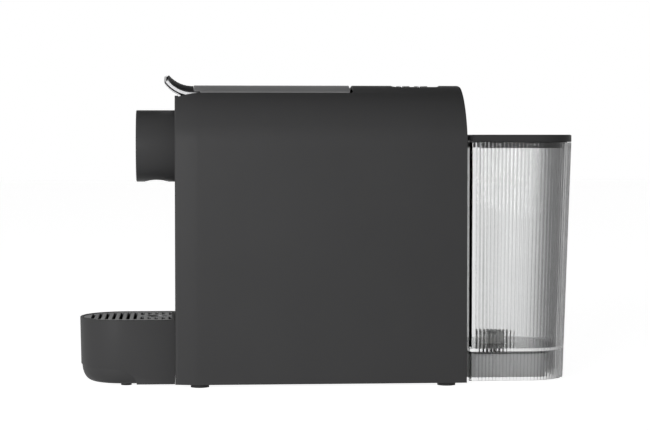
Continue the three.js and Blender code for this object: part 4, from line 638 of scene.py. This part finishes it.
def build_lever():
    arm = lever_strip("lever_arm_body", ARM_TOP, ARM_THICKNESS, 1.0, lever_high.x, LEVER_HALF)
    band = lever_strip("band", 0.0, ARM_DEPTH, 1.0, lever_high.x, LEVER_HALF)
    # The band stands up on both sides of the curl, and ends a little past the plate's front.
    cut(band, box_solid((GRIP_REAR + BAND_LENGTH, -BEYOND, 0), (BEYOND, BEYOND, BEYOND)))
    between = LEVER_HALF - BAND_WIDTH
    cut(band, box_solid((-BEYOND, -between, 0), (BEYOND, between, BEYOND)))
    cut(arm, box_solid((0, -GEAR_HALF, 0), (BEYOND, GEAR_HALF, BEYOND)))
    pivot_x, _, pivot_z = joint_place("lever_hinge")
    post_top = RIDGE - ARM_DEPTH - sag(11 * MM) + 0.4 * MM
    for y in (KNUCKLE_PLACE, -KNUCKLE_PLACE - KNUCKLE_WIDTH):
        knuckle = prism("knuckle", circle(pivot_x, pivot_z, KNUCKLE_RADIUS, 32), "Y", y, y + KNUCKLE_WIDTH)
        post = box_solid((pivot_x - POST_HALF, y + 0.1 * MM, pivot_z),
                         (pivot_x + POST_HALF, y + KNUCKLE_WIDTH - 0.1 * MM, post_top))
        join(arm, knuckle, post)
    cut(arm, prism("bore", circle(pivot_x, pivot_z, PIVOT_BORE, 32), "Y", -BEYOND, BEYOND))
    finish_piece(arm, ["lever_arm"], "lever", chrome)
    finish_piece(band, [], "lever", chrome)

    plate = lever_strip("lever_top_plate", 0.0, PLATE_THICKNESS, 0.0, plate_high.x, LEVER_HALF)
    outline = rounded_rectangle(GRIP_REAR, plate_high.x, -LEVER_HALF, LEVER_HALF, PLATE_CORNER)
    combine(plate, prism("outline", outline, "Z", RIDGE - 20 * MM, RIDGE + 20 * MM), "INTERSECT")
    grip_half = LEVER_HALF - GRIP_SIDE
    notch_rear = GRIP_REAR + BAND_LENGTH + 0.3 * MM
    for y0, y1 in ((grip_half, BEYOND), (-BEYOND, -grip_half)):
        cut(plate, box_solid((-BEYOND, y0, 0), (notch_rear, y1, BEYOND)))
    finish_piece(plate, ["lever_plate"], "lever", lever_grey, edge=0.35 * MM, angle=40)

    grip = lever_strip("lever_grip_pad", GRIP_TOP, GRIP_THICKNESS, 0.95, 0.0, grip_half)
    cut(grip, box_solid((GRIP_REAR - 0.3 * MM, -BEYOND, 0), (BEYOND, BEYOND, BEYOND)))
    for i in range(GROOVE_COUNT):
        share = 0.2 + 0.12 * i
        a = math.radians(CURL_REACH * share)
        x = CURL_START - CURL_RADIUS * math.sin(a)
        z = RIDGE + CURL_RADIUS * (1 - math.cos(a))
        cut(grip, prism("groove", circle(x, z, GROOVE_RADIUS, 12), "Y", -GROOVE_HALF, GROOVE_HALF))
    finish_piece(grip, ["lever_grip"], "lever", grip_black)


build_lever()

# ---- Tank --------------------------------------------------------------------------------------

tank_low, tank_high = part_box("water_tank")
lid_low, lid_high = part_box("tank_lid")
TANK_FRONT = lid_low.x
TANK_REAR = tank_high.x
TANK_HALF = tank_high.y
TANK_TOP = 159.4 * MM
TANK_BOTTOM = tank_low.z
TANK_FLOOR = 22 * MM
TANK_WALL = 2 * MM
TANK_CORNER = 29 * MM
TANK_DRAFT = 0.072
RIB_PITCH = 2.5 * MM
RIB_DEPTH = 0.55 * MM
PLAIN_FRONT = 3 * MM
VALVE_HOLE_RADIUS = 6.3 * MM
RAIL_PLACE, RAIL_HALF = 14 * MM, 1.2 * MM
REST_PLACE, REST_HALF, REST_LOW = 24 * MM, 1 * MM, 19.8 * MM
JOIN_GAP = 0.02 * MM
HINGE_X, _, HINGE_Z = joint_place("tank_lid_hinge")
EAR_RADIUS, EAR_WIDTH, EAR_BORE = 2 * MM, 2.4 * MM, 1.3 * MM
EARS = (33 * MM, -33 * MM - EAR_WIDTH)
LID_GAP, LID_EDGE = 0.3 * MM, 0.9 * MM
LID_UNDERCUT = 0.25 * MM
BARREL_RADIUS, BARREL_HALF = 2.4 * MM, 41 * MM
RIM_OUTSIDE, RIM_INSIDE = 2.8 * MM, 4.2 * MM
EAR_CLEARANCE, PIN_RADIUS, PIN_HALF = 0.4 * MM, 1.1 * MM, 35.4 * MM


def tank_plan(inset, step):
    """The tank's plan, anticlockwise from the front left corner, with a point every step."""
    half, corner, small = TANK_HALF - inset, TANK_CORNER - inset, max(0.4 * MM, 2 * MM - inset)
    front, rear = TANK_FRONT + inset, TANK_REAR - inset
    points = []

    def line(a, b):
        count = max(1, round(math.dist(a, b) / step))
        du, dv = (b[0] - a[0]) / count, (b[1] - a[1]) / count
        points.extend([(a[0] + du * i, a[1] + dv * i) for i in range(count)])

    def turn(cx, cy, radius, start):
        count = max(3, round(radius * math.pi / 2 / step))
        points.extend(arc(cx, cy, radius, radius, start, start + 90, count)[:-1])

    line((front + small, -half), (rear - corner, -half))
    turn(rear - corner, -half + corner, corner, -90)
    line((rear, -half + corner), (rear, half - corner))
    turn(rear - corner, half - corner, corner, 0)
    line((rear - corner, half), (front + small, half))
    turn(front + small, half - small, small, 90)
    line((front, half - small), (front, -half + small))
    turn(front + small, -half + small, small, 180)
    return points


def fluted(points, depth, pitch):
    """Ribs along the height: every point moves inwards by a rounded wave, past the plain front."""
    count = len(points)
    total = sum(math.dist(points[i], points[(i + 1) % count]) for i in range(count))
    waves = round(total / pitch)
    moved, travelled = [], 0.0
    for i, (x, y) in enumerate(points):
        before, after = points[i - 1], points[(i + 1) % count]
        along = Vector((after[0] - before[0], after[1] - before[1])).normalized()
        wave = abs(math.sin(math.pi * travelled / total * waves))
        shift = 0.0 if x < TANK_FRONT + PLAIN_FRONT else depth * (1 - wave)
        moved.append((x - along.y * shift, y + along.x * shift))
        travelled += math.dist((x, y), after)
    return moved


def drafted(x, y, z):
    scale = 1 - TANK_DRAFT * max(0.0, TANK_TOP - z) / (TANK_TOP - TANK_BOTTOM)
    return (TANK_FRONT + (x - TANK_FRONT) * scale, y * (1 - (1 - scale) / 2), z)


def tank_solid(name, plan, levels):
    """A solid through the tank's plan at the given heights, narrowing downwards with the tank."""
    return loft(name, [[drafted(x, y, z) for x, y in plan] for z in levels])


def build_tank():
    outer = fluted(tank_plan(0, RIB_PITCH / 6), RIB_DEPTH, RIB_PITCH)
    tank = tank_solid("water_tank_wall", outer, [TANK_BOTTOM, TANK_TOP])
    inner = tank_plan(TANK_WALL, 2.5 * MM)
    cut(tank, tank_solid("inside", inner, [TANK_FLOOR + TANK_WALL, TANK_TOP + 10 * MM]))
    cut(tank, tank_solid("skirt", inner, [TANK_BOTTOM - 10 * MM, TANK_FLOOR]))
    dock_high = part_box("tank_dock")[1]
    dock_half = dock_high.y + 2 * MM
    cut(tank, box_solid((0, -dock_half, 0), (TANK_FRONT + TANK_WALL + 1 * MM, dock_half, TANK_FLOOR)))
    valve_low, valve_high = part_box("valve_housing")
    valve_x = (valve_low.x + valve_high.x) / 2
    cut(tank, prism("valve_hole", circle(valve_x, 0, VALVE_HOLE_RADIUS), "Z", 0, TANK_FLOOR + 8 * MM))
    finish_piece(tank, ["water_tank"], "tank", tank_clear, angle=50)
    extras = []
    for y in (-RAIL_PLACE, RAIL_PLACE):
        low = (tank_low.x, y - RAIL_HALF, TANK_FLOOR + 1 * MM)
        high = (TANK_FRONT - JOIN_GAP, y + RAIL_HALF, TANK_TOP - 10 * MM)
        extras.append(box_solid(low, high, "tank_rail"))
    for y in (-REST_PLACE, REST_PLACE):
        low = (TANK_FRONT + 6 * MM, y - REST_HALF, REST_LOW)
        high = (dock_high.x - 4 * MM, y + REST_HALF, TANK_FLOOR - JOIN_GAP)
        extras.append(box_solid(low, high, "tank_rest"))
    for y in EARS:
        ear = prism("tank_ear", circle(HINGE_X, HINGE_Z, EAR_RADIUS, 32), "Y", y, y + EAR_WIDTH)
        join(ear, box_solid((HINGE_X - EAR_RADIUS, y, TANK_TOP + JOIN_GAP),
                            (HINGE_X + EAR_RADIUS, y + EAR_WIDTH, HINGE_Z)))
        cut(ear, prism("pin", circle(HINGE_X, HINGE_Z, EAR_BORE, 24), "Y", -BEYOND, BEYOND))
        extras.append(ear)
    for extra in extras:
        finish_piece(extra, [], "tank", tank_clear, edge=0.2 * MM)


def build_lid():
    """A flat cap over the tank with a rounded edge, a rim inside it and the hinge barrel in front."""
    under, top = TANK_TOP + LID_GAP, lid_high.z
    middle = (TANK_FRONT + TANK_REAR) / 2
    half_length = (TANK_REAR - TANK_FRONT) / 2
    levels = [(under, LID_UNDERCUT), (under + LID_UNDERCUT, 0)]
    for i in range(7):
        a = math.radians(90 * i / 6)
        levels.append((top - LID_EDGE + LID_EDGE * math.sin(a), LID_EDGE * (1 - math.cos(a))))
    rings = []
    for z, inset in levels:
        shrunk = [(x + (middle - x) * inset / half_length, y * (1 - inset / TANK_HALF))
                  for x, y in tank_plan(0, 1.5 * MM)]
        rings.append([drafted(x, y, z) for x, y in shrunk])
    lid = loft("tank_lid_cap", rings)
    cut(lid, box_solid((0, -BEYOND, 0), (HINGE_X, BEYOND, BEYOND)))
    join(lid, prism("barrel", circle(HINGE_X, HINGE_Z, BARREL_RADIUS, 40), "Y", -BARREL_HALF, BARREL_HALF))
    rim = tank_solid("rim", tank_plan(RIM_OUTSIDE, 1.5 * MM), [lid_low.z, under + 1 * MM])
    cut(rim, tank_solid("rim_inside", tank_plan(RIM_INSIDE, 1.5 * MM), [0, 300 * MM]))
    cut(rim, box_solid((0, -BEYOND, 0), (HINGE_X + 4.6 * MM, BEYOND, BEYOND)))
    join(lid, rim)
    for ear in EARS:
        low, high = ear - EAR_CLEARANCE, ear + EAR_WIDTH + EAR_CLEARANCE
        cut(lid, box_solid((0, low, 0), (HINGE_X + 3 * MM, high, BEYOND)))
    join(lid, prism("pin", circle(HINGE_X, HINGE_Z, PIN_RADIUS, 24), "Y", -PIN_HALF, PIN_HALF))
    finish_piece(lid, ["tank_lid"], "tank_lid", lid_black, angle=35)


def build_strainer():
    """A low domed sieve over the valve, pierced by rings of small round holes."""
    low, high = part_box("tank_strainer")
    x, radius = (low.x + high.x) / 2, (high.x - low.x) / 2
    wall, corner, height = 1 * MM, 1.6 * MM, high.z - low.z
    hole_radius, bar_half = 0.6 * MM, 0.45 * MM
    outer = [(radius, 0)] + arc(radius - corner, height - corner, corner, corner, 0, 90, 6)
    inner = [(0, height - wall), (radius - corner, height - wall), (radius - wall, height - corner),
             (radius - wall, 0)]
    cup = lathe("strainer_cup", inner + outer + [(0, height)], (x, 0, low.z), "Z", 64)
    for ring, count in ((2.2 * MM, 6), (4.6 * MM, 12), (7 * MM, 18)):
        for i in range(count):
            a = 2 * math.pi * i / count
            hole = circle(x + ring * math.cos(a), ring * math.sin(a), hole_radius, 10)
            cut(cup, prism("hole", hole, "Z", high.z - 2 * MM, high.z + 1 * MM))
    for i in range(24):
        a = 2 * math.pi * i / 24
        bar = box_solid((radius - 2.2 * MM, -bar_half, 1.2 * MM),
                        (radius + 0.5 * MM, bar_half, height - 2.2 * MM))
        bar.data.transform(Matrix.Translation((x, 0, low.z)) @ Matrix.Rotation(a, 4, "Z"))
        cut(cup, bar)
    finish_piece(cup, ["tank_strainer"], "tank", strainer_white, angle=30)


build_tank()
build_lid()
build_strainer()

# ---- Buttons -----------------------------------------------------------------------------------

BUTTON_GAP = 0.3 * MM
BUTTON_EDGE = 0.5 * MM
BUTTON_HOLLOW = ((0, 0.35 * MM), (0.4, 0.3 * MM), (0.75, 0.1 * MM))  # share of the radius, depth


def build_buttons():
    """The dish behind the lever, hollowed a little, and the two caps with a shallow thumb hollow."""
    bezel_top = bezel_high.z
    x0, x1 = bezel_low.x + BEZEL_FLANGE, bezel_high.x - BEZEL_FLANGE
    y0, y1 = bezel_low.y + BEZEL_FLANGE, bezel_high.y - BEZEL_FLANGE
    bottom = bezel_top - 3 * MM
    outline = rounded_rectangle(x0, x1, y0, y1, BEZEL_CORNER, 12)
    plate = prism("bezel_plate", outline, "Z", bottom, bezel_top)
    border, slope, hollow = 0.6 * MM, 1.2 * MM, 0.7 * MM
    rings = []
    for z, inset in ((bezel_top - hollow, border + slope), (bezel_top + 0.01 * MM, border)):
        sides = x0 + inset, x1 - inset, y0 + inset, y1 - inset
        outline = rounded_rectangle(*sides, BEZEL_CORNER - inset, 12)
        rings.append([(x, y, z) for x, y in outline])
    cut(plate, loft("hollow", rings))
    for name, body in (("button_front", "front_button"), ("button_rear", "rear_button")):
        low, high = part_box(name)
        x, radius = (low.x + high.x) / 2, (high.x - low.x) / 2
        cut(plate, prism("hole", circle(x, 0, radius + BUTTON_GAP), "Z", 0, BEYOND))
        dome = [(radius * share, high.z - dip) for share, dip in BUTTON_HOLLOW]
        dome += arc(radius - BUTTON_EDGE, high.z - BUTTON_EDGE, BUTTON_EDGE, BUTTON_EDGE, 90, 0, 6)
        profile = [(0, bottom), (radius, bottom)] + dome[::-1]
        cap = lathe(name + "_cap", profile, (x, 0, 0), "Z", 48)
        finish_piece(cap, [], body, button_grey, angle=35)
    finish_piece(plate, [], "chassis", gloss_black, edge=0.2 * MM)


build_buttons()

# ---- Camera, floor and light -------------------------------------------------------------------

CAMERA_PLACE = (-97.5 * MM, -1325 * MM, 164 * MM)
CAMERA_DOWN, CAMERA_YAW = math.radians(2.3), math.radians(4.2)
LENS, SENSOR = 109.7, 36
FLOOR_HALF = 6
FADE_LENGTH = 0.4  # of the sky, as a share of its height
MACHINE_MIDDLE = (0, 0, 0.1)


def add_camera():
    data = bpy.data.cameras.new("camera")
    data.sensor_width = SENSOR
    data.lens = LENS
    data.clip_start = 0.05
    data.clip_end = 20
    camera = bpy.data.objects.new("camera", data)
    bpy.context.scene.collection.objects.link(camera)
    camera.location = CAMERA_PLACE
    camera.rotation_euler = (math.pi / 2 - CAMERA_DOWN, 0, -CAMERA_YAW)
    bpy.context.scene.camera = camera


def add_area(name, location, size, energy):
    data = bpy.data.lights.new(name, "AREA")
    data.shape = "RECTANGLE"
    data.size, data.size_y = size
    data.energy = energy
    light = bpy.data.objects.new(name, data)
    bpy.context.scene.collection.objects.link(light)
    light.location = location
    direction = Vector(MACHINE_MIDDLE) - Vector(location)
    light.rotation_euler = direction.to_track_quat("-Z", "Y").to_euler()


def white_where_seen(nodes, links, seen, shade):
    """The seen shade to the camera and through glass and mirrors, and another shade to all other light."""
    path = nodes.new("ShaderNodeLightPath")
    first = nodes.new("ShaderNodeMath")
    first.operation = "MAXIMUM"
    second = nodes.new("ShaderNodeMath")
    second.operation = "MAXIMUM"
    links.new(path.outputs["Is Camera Ray"], first.inputs[0])
    links.new(path.outputs["Is Transmission Ray"], first.inputs[1])
    links.new(first.outputs["Value"], second.inputs[0])
    links.new(path.outputs["Is Glossy Ray"], second.inputs[1])
    mix = nodes.new("ShaderNodeMix")
    mix.data_type = "RGBA"
    for socket, value in ((mix.inputs[6], shade), (mix.inputs[7], seen)):
        if isinstance(value, float):
            socket.default_value = (value, value, value, 1)
        else:
            links.new(value, socket)
    links.new(second.outputs["Value"], mix.inputs["Factor"])
    return mix.outputs[2]


def overhead_fade(nodes, links, level, overhead, fade_start):
    """A shade that holds near the horizon and fades to another one overhead."""
    place = nodes.new("ShaderNodeTexCoord")
    split = nodes.new("ShaderNodeSeparateXYZ")
    links.new(place.outputs["Generated"], split.inputs["Vector"])
    height = nodes.new("ShaderNodeMapRange")
    height.inputs["From Min"].default_value = fade_start
    height.inputs["From Max"].default_value = fade_start + FADE_LENGTH
    height.inputs["To Min"].default_value = level
    height.inputs["To Max"].default_value = overhead
    links.new(split.outputs["Z"], height.inputs["Value"])
    return height.outputs["Result"]


def add_world():
    """A light tent: level light from its sides, white behind, and a dark top."""
    world = bpy.data.worlds.new("world")
    world.use_nodes = True
    bpy.context.scene.world = world
    nodes, links = world.node_tree.nodes, world.node_tree.links
    background = nodes["Background"]
    seen = overhead_fade(nodes, links, 1.0, 0.05, 0.2)
    shade = overhead_fade(nodes, links, 0.5, 0.0, 0.05)
    links.new(white_where_seen(nodes, links, seen, shade), background.inputs["Color"])
    background.inputs["Strength"].default_value = 1.0


def add_floor():
    half = FLOOR_HALF
    corners = [(-half, -half, 0), (half, -half, 0), (half, half, 0), (-half, half, 0)]
    floor = make_object("floor", corners, [(0, 1, 2, 3)])
    material = bpy.data.materials.new("floor")
    material.use_nodes = True
    nodes, links = material.node_tree.nodes, material.node_tree.links
    shader = nodes["Principled BSDF"]
    shader.inputs["Base Color"].default_value = (0.6, 0.6, 0.6, 1)
    links.new(white_where_seen(nodes, links, 1.0, 0.0), shader.inputs["Emission Color"])
    shader.inputs["Emission Strength"].default_value = 0.94
    shader.inputs["Roughness"].default_value = 0.8
    shader.inputs["Specular IOR Level"].default_value = 0.1
    floor.data.materials.append(material)


bpy.context.scene.view_settings.view_transform = "Standard"
add_camera()
add_world()
add_floor()
add_area("key", (-1.2, -2.0, 0.3), (1.4, 1.0), 50)
add_area("top", (0.1, -0.3, 1.9), (1.2, 1.2), 1)
